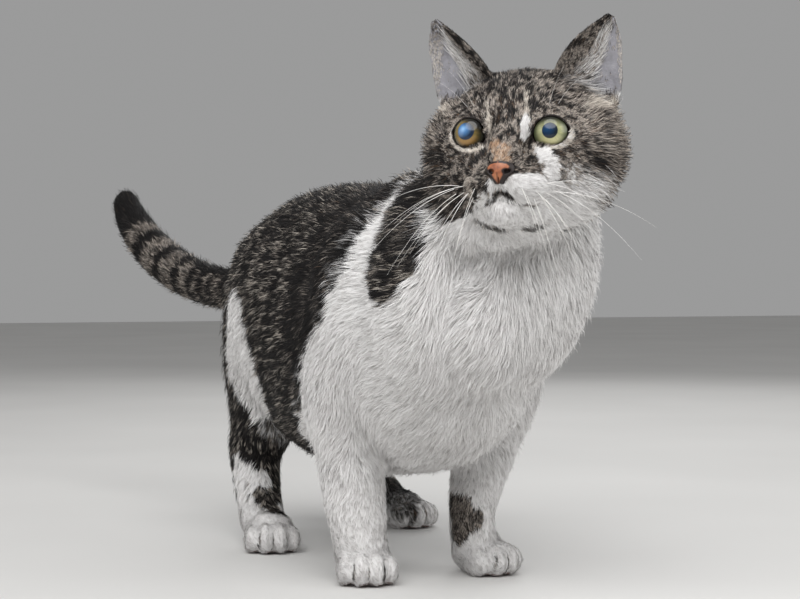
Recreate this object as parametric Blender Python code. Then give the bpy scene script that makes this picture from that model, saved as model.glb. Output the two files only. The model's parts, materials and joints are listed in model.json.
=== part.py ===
"""A life-size domestic shorthair cat that stands on four paws and looks up.

The cat faces -Y, its left side is +X, +Z is up and the floor is z = 0. Sizes
are in metres, those of the head in millimetres. Masses of muscle, fat and coat
are lofts and ellipsoids, fused into one body, smoothed, and then parted by thin
cuts into the pieces that a person would name. The outline is that of the coat's
tips. All places are measured from a point on the floor below the loins, and the
finished pieces are moved so that the middle of their common box is the origin.
"""

import math

import bmesh
import bpy
from mathutils import Matrix, Vector

MM = 0.001
GAP = 0.3 * MM  # clearance between pieces that lie face to face
VOXEL = 1.35 * MM  # grid that fuses the masses
ROUGH_TRIANGLES = 90000  # fused body before it is parted
LOFT_SIDES = 28
LOFT_STEPS = 4  # rings from one station to the next
SMOOTH_PASSES = 110
FLOOR_SINK = 1.5 * MM  # how far the soles reach below the floor before they are cut flat
BOX_CENTRE = (0.0093, 0.0864)  # middle of the cat's box, measured from the point below the loins

# Trunk from breast to rump: y, height of the centre, half width, half height.
TRUNK = (
    (-0.172, 0.160, 0.034, 0.046),
    (-0.150, 0.158, 0.056, 0.070),
    (-0.115, 0.156, 0.069, 0.086),
    (-0.065, 0.152, 0.072, 0.092),
    (0.000, 0.152, 0.076, 0.097),
    (0.060, 0.157, 0.078, 0.093),
    (0.115, 0.162, 0.070, 0.081),
    (0.155, 0.164, 0.052, 0.066),
    (0.188, 0.174, 0.030, 0.044),
)

# Neck from the withers to the skull: x, y, height, half width, half height.
NECK = (
    (0.000, -0.080, 0.168, 0.060, 0.068),
    (0.004, -0.118, 0.188, 0.058, 0.062),
    (0.012, -0.150, 0.210, 0.052, 0.052),
    (0.016, -0.182, 0.236, 0.046, 0.044),
)

# Tail from the rump to the tip: x, y, height, radius.
TAIL = (
    (-0.006, 0.160, 0.190, 0.0250),
    (-0.012, 0.195, 0.180, 0.0180),
    (-0.022, 0.240, 0.176, 0.0160),
    (-0.032, 0.280, 0.179, 0.0160),
    (-0.042, 0.320, 0.188, 0.0165),
    (-0.051, 0.360, 0.202, 0.0165),
    (-0.059, 0.390, 0.220, 0.0150),
    (-0.064, 0.410, 0.238, 0.0130),
    (-0.066, 0.419, 0.249, 0.0110),
)

# Each leg from the trunk to the paw: place, half width, half depth; then the paw's
# middle and the angle that it turns from straight ahead.
FORELEGS = {
    "right": {
        "joints": (
            (-0.046, -0.095, 0.150, 0.028, 0.040),
            (-0.052, -0.082, 0.110, 0.026, 0.030),
            (-0.0475, -0.084, 0.075, 0.0205, 0.0235),
            (-0.0465, -0.090, 0.048, 0.0190, 0.0195),
            (-0.0455, -0.094, 0.030, 0.0170, 0.0175),
            (-0.0450, -0.097, 0.016, 0.0165, 0.0170),
        ),
        "paw": (-0.0430, -0.0995),
        "turn": -16,
    },
    "left": {
        "joints": (
            (0.048, -0.095, 0.150, 0.030, 0.040),
            (0.0545, -0.080, 0.112, 0.029, 0.029),
            (0.0450, -0.080, 0.075, 0.0205, 0.0220),
            (0.0360, -0.085, 0.048, 0.0155, 0.0175),
            (0.0330, -0.088, 0.030, 0.0140, 0.0155),
            (0.0350, -0.090, 0.016, 0.0155, 0.0160),
        ),
        "paw": (0.0385, -0.0920),
        "turn": 15,
    },
}
HINDLEGS = {
    "right": {
        "joints": (
            (-0.032, 0.120, 0.160, 0.034, 0.055),
            (-0.040, 0.104, 0.120, 0.031, 0.044),
            (-0.046, 0.097, 0.085, 0.0235, 0.0310),
            (-0.0500, 0.100, 0.060, 0.0180, 0.0220),
            (-0.0530, 0.085, 0.036, 0.0155, 0.0165),
            (-0.0560, 0.066, 0.018, 0.0155, 0.0160),
        ),
        "paw": (-0.0560, 0.0470),
        "turn": -14,
    },
    "left": {
        "joints": (
            (0.036, 0.122, 0.160, 0.034, 0.055),
            (0.044, 0.130, 0.120, 0.030, 0.042),
            (0.050, 0.150, 0.085, 0.0225, 0.0290),
            (0.0540, 0.165, 0.060, 0.0170, 0.0215),
            (0.0580, 0.158, 0.036, 0.0150, 0.0165),
            (0.0665, 0.142, 0.018, 0.0150, 0.0150),
        ),
        "paw": (0.0745, 0.1260),
        "turn": 16,
    },
}

# Muscle, fat and long hair that the lofts leave out: centre, radii.
TRUNK_MASSES = (
    ((0.026, -0.163, 0.205), (0.054, 0.046, 0.087)),  # bib below the cheek, left of the throat
    ((-0.014, -0.152, 0.170), (0.048, 0.040, 0.066)),  # bib, right of the throat
    ((-0.038, -0.085, 0.170), (0.034, 0.046, 0.060)),  # right shoulder
    ((0.042, -0.090, 0.165), (0.038, 0.050, 0.062)),  # left shoulder
    ((0.0, -0.050, 0.206), (0.036, 0.056, 0.040)),  # withers
    ((0.0, -0.092, 0.211), (0.041, 0.045, 0.043)),  # nape
    ((-0.028, 0.106, 0.170), (0.041, 0.060, 0.060)),  # right haunch
    ((0.034, 0.115, 0.168), (0.038, 0.062, 0.060)),  # left haunch
    ((0.0, -0.005, 0.107), (0.056, 0.080, 0.053)),  # hanging belly
)

# Toes of a paw that faces -Y: across and ahead of its middle, half width, length, height.
TOES = (
    (-0.0128, -0.0085, 0.0062, 0.0125, 0.0100),
    (-0.0046, -0.0150, 0.0064, 0.0130, 0.0112),
    (0.0046, -0.0150, 0.0064, 0.0130, 0.0112),
    (0.0128, -0.0085, 0.0062, 0.0125, 0.0100),
)
TOE_FAN = 14  # radians that a toe turns outward for each metre off the middle
PAW_PAD = ((0, 0.004, 0.0125), (0.0165, 0.0190, 0.0142))

# The head's own frame: it faces -Y and its origin lies in the middle of the skull.
HEAD_CENTRE = (0.0158, -0.2006, 0.2536)
HEAD_YAW = -39.5
HEAD_PITCH = 8.0

# Masses on the midline of the head: centre, radii.
HEAD_MIDDLE = (
    ((0, 6, 13), (46, 47, 42)),  # braincase
    ((0, -12, 22), (34, 24, 26)),  # forehead
    ((0, -41, -38.5), (11, 11, 9)),  # chin
    ((0, -14, -33), (26, 32, 16)),  # lower jaw and throat
    ((0, -34, -16), (17, 20, 15)),  # upper jaw behind the nose
)
# Masses on both sides of the head, given for the left side.
HEAD_SIDES = (
    ((30, 1, 3), (31.5, 36, 34)),  # temple and upper cheek
    ((26, -3, -17), (28, 30, 24)),  # lower cheek
    ((19, -24, -12), (18, 19, 17)),  # cheekbone below the eye
    ((10.5, -43, -25), (14, 15, 10.5)),  # whisker pad
    ((17, -24, 22), (15, 11, 9)),  # brow
)
# Bridge of the nose: place, half width, half height.
BRIDGE = (
    (0, -22, 28, 13, 13),
    (0, -38, 8, 10.5, 10),
    (0, -49, -9, 9.5, 8.5),
    (0, -52, -17, 8.5, 7.0),
)

EYE_CENTRE = (22.6, -29.0, 8.2)
EYE_RADIUS = 11.4
EYE_OUTWARD = 8  # degrees from straight ahead
EYE_UPWARD = 2
EYE_PLAY = 0.3  # clearance round the eyeball
LID_WALL = 2.0  # lid before smoothing
LID_DEPTH = 5.6  # how far before the eye's middle the corners of the lids end
OPENING = (10.1, 9.0)  # half width and half height between the lids
INNER_CORNER = (-146, 3.2)  # direction in degrees and reach beyond the oval
OUTER_CORNER = (14, 1.2)
CORNER_SPREAD = 0.30  # radians on each side over which a corner narrows to its point
OPENING_POINTS = 40

# Right edge of the nose leather, from its lower point up to the middle of its top.
LEATHER = ((-4.5, -25.6), (-8.0, -19.6), (-7.2, -14.6), (0, -13.4))
LEATHER_BACK = -52.5  # how far back the leather reaches
LEATHER_CENTRE = (0, -54.0, -18.5)
LEATHER_RADII = (9.0, 6.5, 7.6)
NOSTRIL_CENTRE = (4.7, -59.0, -19.2)
NOSTRIL_RADII = (2.1, 3.2, 1.5)
NOSTRIL_OUTWARD = 20  # degrees that a nostril runs outward
NOSTRIL_SLANT = 18

PHILTRUM = ((-0.5, -70, -33.5), (0.5, -50.5, -22))  # corners of the groove below the nose

# The line between the lips: across, height, and how far back the cut reaches.
MOUTH = (
    (0, -32.6, -46),
    (5, -34.6, -45),
    (10, -35.6, -42),
    (15, -34.6, -38),
    (19.5, -32.0, -34),
)
MOUTH_OPENING = 0.9
JAW_SIDES = ((-20, -38), (-18, -50), (-12, -80))  # right edge of the lower jaw, downwards
JAW_BACK = -16  # how far back the lower jaw reaches

# An ear, given for the left side.
EAR_TIPS = {-1: (57.0, -4, 81.5), 1: (47.5, -4, 80)}  # right and left, each as if on the left
EAR_INNER = (18, -14, 46)  # where the front edge meets the forehead
EAR_OUTER = (54, 3, 30)  # where the outer edge meets the cheek
EAR_CUP = 13.0
EAR_OUTER_BULGE = 5.0
EAR_TIP_WIDTH = 0.05  # share of the foot's width at which an ear ends
EAR_INNER_BULGE = {-1: 2.0, 1: 4.0}
EAR_WALL = 2.6
EAR_RIM = 1.4
EAR_SINK = 0.34  # share of the ear's length that starts inside the head
EAR_COLUMNS = 12
EAR_ROWS = 13

# Where the body is parted. Slanted cuts: a point, tilt back and turn in degrees.
HEAD_CUT = ((0.0297, -0.1694, 0.2536), 40, -24)
NECK_CUT = ((0.012, -0.128, 0.225), 42, -14)
TAIL_CUTS = (("tail_tip", 0.375), ("tail_middle", 0.290), ("tail_base", 0.205))
RUMP_CUT = 0.095
BELLY_CUT = -0.035
# Blocks round a leg, from the paw up: inner side, top, reach ahead of and behind the knee.
FORELEG_CUTS = (
    (0.004, 0.0260, 0.06, 0.05),
    (0.020, 0.0720, 0.06, 0.045),
    (0.036, 0.1600, 0.05, 0.040),
)
HINDLEG_CUTS = (
    (0.004, 0.0260, 0.09, 0.05),
    (0.020, 0.0820, 0.06, 0.060),
    (0.034, 0.1750, 0.05, 0.050),
)

TRIANGLES = {
    "head": 3700,
    "jaw": 450,
    "nose": 420,
    "neck": 520,
    "chest": 900,
    "belly": 700,
    "rump": 640,
    "upper_foreleg": 330,
    "lower_foreleg": 280,
    "forepaw": 680,
    "thigh": 400,
    "lower_hindleg": 320,
    "hindpaw": 620,
    "tail_base": 260,
    "tail_middle": 260,
    "tail_tip": 260,
    "ear": 620,
}

COLOURS = {
    "tabby": (0.10, 0.075, 0.055),
    "white": (0.78, 0.76, 0.73),
    "nose": (0.42, 0.13, 0.08),
    "eye_right": (0.30, 0.27, 0.12),
    "eye_left": (0.42, 0.46, 0.12),
}
TABBY_KINDS = ("head", "ear", "belly", "rump", "thigh", "lower_hindleg")
ROUGHNESS = {"eye": 0.08, "nose": 0.5}
COAT_ROUGHNESS = 0.9


def clear_scene():
    for obj in list(bpy.data.objects):
        bpy.data.objects.remove(obj)


def add_object(name, mesh):
    obj = bpy.data.objects.new(name, mesh)
    bpy.context.scene.collection.objects.link(obj)
    return obj


def add_mesh(name, bm):
    bmesh.ops.recalc_face_normals(bm, faces=bm.faces)
    mesh = bpy.data.meshes.new(name)
    bm.to_mesh(mesh)
    bm.free()
    return add_object(name, mesh)


def smooth_curve(rows, steps):
    """The rows with steps - 1 more between each two, all on one smooth curve."""
    rows = [Vector(row) for row in rows]
    padded = [rows[0] * 2 - rows[1], *rows, rows[-1] * 2 - rows[-2]]
    curve = []
    for a, b, c, d in zip(padded, padded[1:], padded[2:], padded[3:]):
        for step in range(steps):
            t = step / steps
            bend = a * 2 - b * 5 + c * 4 - d
            twist = b * 3 - a - c * 3 + d
            curve.append((b * 2 + (c - a) * t + bend * t**2 + twist * t**3) / 2)
    return curve + [rows[-1]]


def close_rings(bm, rings):
    """Skins rings of points with quads and closes both ends with a fan."""
    loops = [[bm.verts.new(point) for point in ring] for ring in rings]
    for lower, upper in zip(loops, loops[1:]):
        for k, vertex in enumerate(lower):
            n = (k + 1) % len(lower)
            bm.faces.new((vertex, lower[n], upper[n], upper[k]))
    for loop in (loops[0], loops[-1]):
        bm.faces.new(loop)


def loft(name, stations):
    """A closed tube through stations of x, y, z, half width and half height."""
    rows = smooth_curve(stations, LOFT_STEPS)
    last = len(rows) - 1
    rings = []
    for i, row in enumerate(rows):
        along = (rows[min(i + 1, last)] - rows[max(i - 1, 0)]).to_3d().normalized()
        rings.append((row.to_3d(), along, row[3], row[4]))
    for end, sign in ((0, -1), (-1, 1)):
        centre, along, wide, high = rings[end]
        for angle in (30, 60, 80):
            reach = sign * math.sin(math.radians(angle)) * min(wide, high)
            shrink = math.cos(math.radians(angle))
            ring = (centre + along * reach, along, wide * shrink, high * shrink)
            rings.insert(0 if end == 0 else len(rings), ring)
    bm = bmesh.new()
    outlines = []
    for centre, along, wide, high in rings:
        across = (Vector((1, 0, 0)) - along * along.x).normalized()
        up = across.cross(along)
        outline = []
        for k in range(LOFT_SIDES):
            angle = 2 * math.pi * k / LOFT_SIDES
            outline.append(
                centre + across * math.cos(angle) * wide + up * math.sin(angle) * high
            )
        outlines.append(outline)
    close_rings(bm, outlines)
    return add_mesh(name, bm)


def ball(name, centre, radii, turn=None, segments=28, rings=18):
    bm = bmesh.new()
    bmesh.ops.create_uvsphere(bm, u_segments=segments, v_segments=rings, radius=1)
    place = Matrix.Translation(centre) @ (turn or Matrix()) @ Matrix.Diagonal((*radii, 1))
    bmesh.ops.transform(bm, matrix=place, verts=bm.verts)
    return add_mesh(name, bm)


def block(name, low, high, matrix=None):
    bm = bmesh.new()
    bmesh.ops.create_cube(bm, size=1)
    low, high = Vector(low), Vector(high)
    place = Matrix.Translation((low + high) / 2) @ Matrix.Diagonal((*(high - low), 1))
    bmesh.ops.transform(bm, matrix=(matrix or Matrix()) @ place, verts=bm.verts)
    return add_mesh(name, bm)


def prism(name, outline, front, back, matrix=None):
    """An outline of x and z, given anticlockwise, carried from y = front to y = back."""
    bm = bmesh.new()
    rings = [[(x, y, z) for x, z in outline] for y in (front, back)]
    close_rings(bm, rings)
    bmesh.ops.transform(bm, matrix=matrix or Matrix(), verts=bm.verts)
    return add_mesh(name, bm)


def apply_modifier(obj, kind, **settings):
    modifier = obj.modifiers.new(kind.title(), kind)
    for name, value in settings.items():
        setattr(modifier, name, value)
    graph = bpy.context.evaluated_depsgraph_get()
    mesh = bpy.data.meshes.new_from_object(obj.evaluated_get(graph))
    obj.modifiers.clear()
    obj.data = mesh


def join(name, pieces):
    bm = bmesh.new()
    for piece in pieces:
        bm.from_mesh(piece.data)
        bpy.data.objects.remove(piece)
    mesh = bpy.data.meshes.new(name)
    bm.to_mesh(mesh)
    bm.free()
    return add_object(name, mesh)


def combine(obj, other, operation):
    """Applies a Boolean with other to obj, and removes other."""
    apply_modifier(obj, "BOOLEAN", operation=operation, object=other, solver="MANIFOLD")
    bpy.data.objects.remove(other)


def keep_largest(obj):
    """Drops every closed surface but the one with the most points."""
    bm = bmesh.new()
    bm.from_mesh(obj.data)
    unseen = set(bm.verts)
    islands = []
    while unseen:
        stack = [unseen.pop()]
        island = set(stack)
        while stack:
            for edge in stack.pop().link_edges:
                fresh = unseen.intersection(edge.verts)
                unseen -= fresh
                island |= fresh
                stack.extend(fresh)
        islands.append(island)
    islands.sort(key=len)
    scraps = [vertex for island in islands[:-1] for vertex in island]
    bmesh.ops.delete(bm, geom=scraps, context="VERTS")
    bm.to_mesh(obj.data)
    bm.free()


def split_off(obj, name, make_cutter):
    """Parts what lies in the cutter from obj as a new piece, a gap away from the rest."""
    piece = add_object(name, obj.data.copy())
    combine(piece, make_cutter(0), "INTERSECT")
    combine(obj, make_cutter(GAP), "DIFFERENCE")
    keep_largest(piece)
    keep_largest(obj)
    return piece


def thin_out(obj, triangles):
    apply_modifier(obj, "TRIANGULATE")
    share = triangles / len(obj.data.polygons)
    if share < 1:
        apply_modifier(obj, "DECIMATE", ratio=share, use_collapse_triangulate=True)


def mirrored(point, side):
    return Vector((point[0] * side, *point[1:]))


def head_matrix():
    return (
        Matrix.Translation(HEAD_CENTRE)
        @ Matrix.Rotation(math.radians(HEAD_YAW), 4, "Z")
        @ Matrix.Rotation(math.radians(-HEAD_PITCH), 4, "X")
        @ Matrix.Scale(MM, 4)
    )


def eye_matrix(side):
    """Frame of an eye in millimetres: it looks along -Y from the eye's centre."""
    return (
        head_matrix()
        @ Matrix.Translation(mirrored(EYE_CENTRE, side))
        @ Matrix.Rotation(math.radians(EYE_OUTWARD * side), 4, "Z")
        @ Matrix.Rotation(math.radians(-EYE_UPWARD), 4, "X")
    )


def paw_masses(leg):
    """The pad and the four toes of a paw."""
    turn = Matrix.Rotation(math.radians(leg["turn"]), 4, "Z")
    place = Matrix.Translation((*leg["paw"], 0)) @ turn
    centre, radii = PAW_PAD
    pieces = [ball("pad", place @ Vector(centre), radii, turn)]
    for across, ahead, wide, long, high in TOES:
        fan = Matrix.Rotation(across * TOE_FAN, 4, "Z")
        centre = place @ Vector((across, ahead, high - FLOOR_SINK))
        pieces.append(ball("toe", centre, (wide, long, high), turn @ fan))
    return pieces


def head_masses():
    pieces = [ball("mass", centre, radii) for centre, radii in HEAD_MIDDLE]
    pieces.append(loft("bridge", BRIDGE))
    pieces.append(ball("nose", LEATHER_CENTRE, LEATHER_RADII))
    for side in (-1, 1):
        for centre, radii in HEAD_SIDES:
            pieces.append(ball("mass", mirrored(centre, side), radii))
        lid = EYE_RADIUS + LID_WALL
        pieces.append(ball("lid", mirrored(EYE_CENTRE, side), (lid, lid, lid)))
    for piece in pieces:
        piece.data.transform(head_matrix())
    return pieces


def body_masses():
    pieces = [
        loft("trunk", [(0, *row) for row in TRUNK]),
        loft("neck", NECK),
        loft("tail", [(*row, row[3]) for row in TAIL]),
    ]
    for centre, radii in TRUNK_MASSES:
        pieces.append(ball("mass", centre, radii))
    for legs in (FORELEGS, HINDLEGS):
        for leg in legs.values():
            pieces.append(loft("leg", leg["joints"]))
            pieces.extend(paw_masses(leg))
    return pieces


def ramp(value, low, high):
    return min(max((value - low) / (high - low), 0), 1)


def make_softness():
    """How strongly a place is smoothed: the trunk fully, face, feet and tail lightly."""
    to_head = head_matrix().inverted()

    def softness(point):
        trunk = 0.10 + 0.90 * ramp(point.z, 0.075, 0.125)
        tail = 1 - 0.88 * ramp(point.y, 0.185, 0.215)
        local = to_head @ point
        away = math.sqrt(local.x**2 + local.y**2 + (local.z * 1.1) ** 2)
        face = 0.13 + 0.87 * ramp(away + local.y * 0.35, 42, 70)
        return trunk * tail * face

    return softness


def relax(obj, softness, passes):
    group = obj.vertex_groups.new(name="softness")
    for vertex in obj.data.vertices:
        group.add([vertex.index], softness(vertex.co), "REPLACE")
    apply_modifier(obj, "SMOOTH", factor=0.5, iterations=passes, vertex_group="softness")
    obj.vertex_groups.clear()


def make_body():
    body = join("body", body_masses() + head_masses())
    apply_modifier(body, "REMESH", mode="VOXEL", voxel_size=VOXEL)
    keep_largest(body)
    relax(body, make_softness(), SMOOTH_PASSES)
    combine(body, block("below", (-1, -1, -0.1), (1, 1, 0)), "DIFFERENCE")
    return body


def hollow_sockets(head):
    """Makes room for the eyeballs and opens the lids before them."""
    for side in (-1, 1):
        socket = EYE_RADIUS + EYE_PLAY
        room = ball("socket", (0, 0, 0), (socket, socket, socket), None, 32, 22)
        room.data.transform(eye_matrix(side))
        combine(head, room, "DIFFERENCE")
        outline = []
        for step in range(OPENING_POINTS):
            angle = 2 * math.pi * step / OPENING_POINTS
            reach = 0
            for direction, length in (INNER_CORNER, OUTER_CORNER):
                off = math.remainder(angle - math.radians(direction), 2 * math.pi)
                reach += length * math.exp(-((off / CORNER_SPREAD) ** 2))
            x = math.cos(angle) * (OPENING[0] + reach)
            z = math.sin(angle) * (OPENING[1] + reach)
            outline.append((x * side, z))
        combine(head, prism("opening", outline, -30, -LID_DEPTH, eye_matrix(side)), "DIFFERENCE")


def make_eye(name, side):
    eye = ball(name, (0, 0, 0), [EYE_RADIUS] * 3, Matrix.Rotation(math.pi / 2, 4, "X"), 22, 14)
    eye.data.transform(eye_matrix(side))
    return eye


def mouth_rows():
    half = smooth_curve(MOUTH, 3)
    return [Vector((-row[0], *row[1:])) for row in half[:0:-1]] + half


def mouth_slit():
    """A thin curved wedge between the lips."""
    bm = bmesh.new()
    rows = mouth_rows()
    grids = []
    for lift in (-0.5, 0.5):
        grid = []
        for across, height, back in rows:
            high = height + lift * MOUTH_OPENING
            grid.append([bm.verts.new((across, y, high)) for y in (-75, back)])
        grids.append(grid)
    low, high = grids
    for i in range(len(rows) - 1):
        bm.faces.new((low[i][0], low[i][1], low[i + 1][1], low[i + 1][0]))
        bm.faces.new((high[i][0], high[i + 1][0], high[i + 1][1], high[i][1]))
        for k in (0, 1):
            bm.faces.new((low[i][k], low[i + 1][k], high[i + 1][k], high[i][k]))
    for i in (0, -1):
        bm.faces.new((low[i][0], high[i][0], high[i][1], low[i][1]))
    slit = add_mesh("slit", bm)
    slit.data.transform(head_matrix())
    return slit


def jaw_cutter(grow):
    """Everything below the line of the mouth, from the chin back to the throat."""
    grow = grow / MM
    rows = mouth_rows()
    top = [(row[0], row[1] + grow) for row in rows]
    sides = [(x + math.copysign(grow, x), z) for x, z in JAW_SIDES]
    outline = top + [(-x, z) for x, z in sides] + sides[::-1]
    return prism("jaw_cutter", outline, -80, JAW_BACK + grow, head_matrix())


def nose_cutter(grow):
    grow = grow / MM
    right = smooth_curve([(x - grow, z) for x, z in LEATHER], 4)
    outline = [(x, z) for x, z in right] + [(-x, z) for x, z in right[-2::-1]]
    middle = sum(z for x, z in outline) / len(outline)
    outline = [(x, z + math.copysign(grow, z - middle)) for x, z in outline]
    return prism("nose_cutter", outline[::-1], -80, LEATHER_BACK + grow, head_matrix())


def drill_nose(nose):
    for side in (-1, 1):
        turn = Matrix.Rotation(math.radians(-NOSTRIL_OUTWARD * side), 4, "Z")
        turn = turn @ Matrix.Rotation(math.radians(-NOSTRIL_SLANT * side), 4, "Y")
        hole = ball("nostril", mirrored(NOSTRIL_CENTRE, side), NOSTRIL_RADII, turn, 14, 10)
        hole.data.transform(head_matrix())
        combine(nose, hole, "DIFFERENCE")


def philtrum():
    """The groove from the nose down to the upper lip."""
    groove = block("philtrum", *PHILTRUM)
    groove.data.transform(head_matrix())
    return groove


def ear_rows(side):
    """Points of the ear's middle surface, row by row from inside the head to the tip."""
    corners = (EAR_TIPS[side], EAR_INNER, EAR_OUTER)
    tip, inner, outer = (mirrored(point, side) for point in corners)
    foot = (inner + outer) / 2
    up = (tip - foot).normalized()
    across = (outer - inner).normalized()
    back = up.cross(across).normalized() * side
    rows = []
    for j in range(EAR_ROWS + 1):
        v = -EAR_SINK + (1 + EAR_SINK) * j / EAR_ROWS
        narrow = max(1 - max(v, 0), EAR_TIP_WIDTH) ** 0.85
        sag = math.sin(math.pi * min(max(v, 0), 1)) ** 0.8
        left = foot.lerp(tip, v) + (inner - foot) * narrow - across * EAR_INNER_BULGE[side] * sag
        right = foot.lerp(tip, v) + (outer - foot) * narrow + across * EAR_OUTER_BULGE * sag
        depth = EAR_CUP * (1 - max(v, 0) * 0.92)
        row = []
        for i in range(EAR_COLUMNS + 1):
            u = i / EAR_COLUMNS
            bow = math.sin(math.pi * u) ** 0.75
            row.append(left.lerp(right, u) + back * depth * bow)
        rows.append(row)
    return rows


def make_ear(name, side):
    """A cupped ear: the middle surface with a wall that grows thinner towards rim and tip."""
    rows = ear_rows(side)
    last_row, last_column = len(rows) - 1, EAR_COLUMNS
    bm = bmesh.new()
    sheets = ([], [])
    for j, row in enumerate(rows):
        for sheet, sign in zip(sheets, (-1, 1)):
            sheet.append([])
            for i, point in enumerate(row):
                du = row[min(i + 1, last_column)] - row[max(i - 1, 0)]
                dv = rows[min(j + 1, last_row)][i] - rows[max(j - 1, 0)][i]
                normal = du.cross(dv).normalized()
                inward = math.sin(math.pi * i / last_column)
                wall = EAR_RIM + (EAR_WALL - EAR_RIM) * inward * (1 - j / last_row)
                sheet[-1].append(bm.verts.new(point + normal * sign * wall / 2))
    front, rear = sheets
    for j in range(last_row):
        for i in range(last_column):
            for sheet in sheets:
                corners = (sheet[j][i], sheet[j][i + 1], sheet[j + 1][i + 1], sheet[j + 1][i])
                bm.faces.new(corners)
        for i in (0, last_column):
            bm.faces.new((front[j][i], front[j + 1][i], rear[j + 1][i], rear[j][i]))
    for i in range(last_column):
        for j in (0, last_row):
            bm.faces.new((front[j][i], front[j][i + 1], rear[j][i + 1], rear[j][i]))
    ear = add_mesh(name, bm)
    ear.data.transform(head_matrix())
    return ear


def swollen(obj, amount):
    """A copy of obj with its surface moved outward."""
    copy = add_object("swollen", obj.data.copy())
    apply_modifier(copy, "DISPLACE", strength=amount, mid_level=0)
    return copy


def block_cutter(low, high, side=1):
    """Makes a block that grows by the gap, mirrored to the cat's right for side -1."""

    def make(grow):
        margin = Vector((grow, grow, grow))
        start, end = Vector(low) - margin, Vector(high) + margin
        if side < 0:
            start.x, end.x = -end.x, -start.x
        return block("cutter", start, end)

    return make


def slanted_plane(foot, tilt, yaw):
    """Makes a block that holds all that lies ahead of a tilted plane through foot."""

    def make(grow):
        place = (
            Matrix.Translation(foot)
            @ Matrix.Rotation(math.radians(yaw), 4, "Z")
            @ Matrix.Rotation(math.radians(-tilt), 4, "X")
        )
        return block("cutter", (-0.3, -0.3, -0.3), (0.3, grow, 0.3), place)

    return make


def part_body(body):
    """Parts the fused body into its pieces, from the extremities to the trunk."""
    cuts = [("head", slanted_plane(*HEAD_CUT))]
    for name, y in TAIL_CUTS:
        cuts.append((name, block_cutter((-0.2, y, 0.1), (0.1, 0.6, 0.4))))
    for names, legs, levels in (
        (("forepaw", "lower_foreleg", "upper_foreleg"), FORELEGS, FORELEG_CUTS),
        (("hindpaw", "lower_hindleg", "thigh"), HINDLEGS, HINDLEG_CUTS),
    ):
        for side, leg in legs.items():
            sign = -1 if side == "right" else 1
            middle = leg["joints"][2][1]
            for name, (inner, top, ahead, behind) in zip(names, levels):
                low = (inner, middle - ahead, -0.1)
                high = (0.2, middle + behind, top)
                cuts.append((f"{name}_{side}", block_cutter(low, high, sign)))
    cuts.append(("neck", slanted_plane(*NECK_CUT)))
    cuts.append(("rump", block_cutter((-0.2, RUMP_CUT, 0), (0.2, 0.4, 0.4))))
    cuts.append(("belly", block_cutter((-0.2, BELLY_CUT, 0), (0.2, 0.4, 0.4))))
    pieces = {name: split_off(body, name, cutter) for name, cutter in cuts}
    body.name = "chest"
    pieces["chest"] = body
    return pieces


def material(name, colour, roughness):
    made = bpy.data.materials.new(name)
    made.use_nodes = True
    shader = made.node_tree.nodes["Principled BSDF"]
    shader.inputs["Base Color"].default_value = (*colour, 1)
    shader.inputs["Roughness"].default_value = roughness
    made.diffuse_color = (*colour, 1)
    return made


def kind_of(name):
    """The piece's name without its side."""
    return name.removesuffix("_left").removesuffix("_right")


def coat_colour(kind):
    tabby = kind in TABBY_KINDS or kind.startswith("tail")
    return COLOURS["tabby" if tabby else "white"]


def build():
    clear_scene()
    body = make_body()
    thin_out(body, ROUGH_TRIANGLES)
    pieces = part_body(body)
    head = pieces["head"]
    for name, side in (("ear_right", -1), ("ear_left", 1)):
        ear = make_ear(name, side)
        combine(ear, swollen(head, GAP), "DIFFERENCE")
        keep_largest(ear)
        pieces[name] = ear
    hollow_sockets(head)
    combine(head, philtrum(), "DIFFERENCE")
    nose = split_off(head, "nose", nose_cutter)
    drill_nose(nose)
    pieces["nose"] = nose
    combine(head, mouth_slit(), "DIFFERENCE")
    pieces["jaw"] = split_off(head, "jaw", jaw_cutter)
    for name, piece in pieces.items():
        thin_out(piece, TRIANGLES[kind_of(name)])
    for name, side in (("eye_right", -1), ("eye_left", 1)):
        pieces[name] = make_eye(name, side)
    shift = Matrix.Translation((-BOX_CENTRE[0], -BOX_CENTRE[1], 0))
    for name, piece in pieces.items():
        piece.data.transform(shift)
        kind = kind_of(name)
        colour = COLOURS.get(name, coat_colour(kind))
        piece.data.materials.clear()
        finish = material(name, colour, ROUGHNESS.get(kind, COAT_ROUGHNESS))
        piece.data.materials.append(finish)


build()
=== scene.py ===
# %% [markdown]
# A stocky tabby and white house cat, life size, standing still with its head turned and raised.
# The solids of the frame hold its outline out to the tips of the coat. Here one bare skin is
# drawn inside that outline, and the coat, eyes, nose and whiskers are set on it.
# The frame comes first, because every later piece is placed from it.

# %% Load the fixed frame
import itertools
import json
import math

import bmesh
import bpy
import numpy as np
from mathutils import Matrix, Vector
from mathutils.bvhtree import BVHTree
from mathutils.kdtree import KDTree

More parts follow.
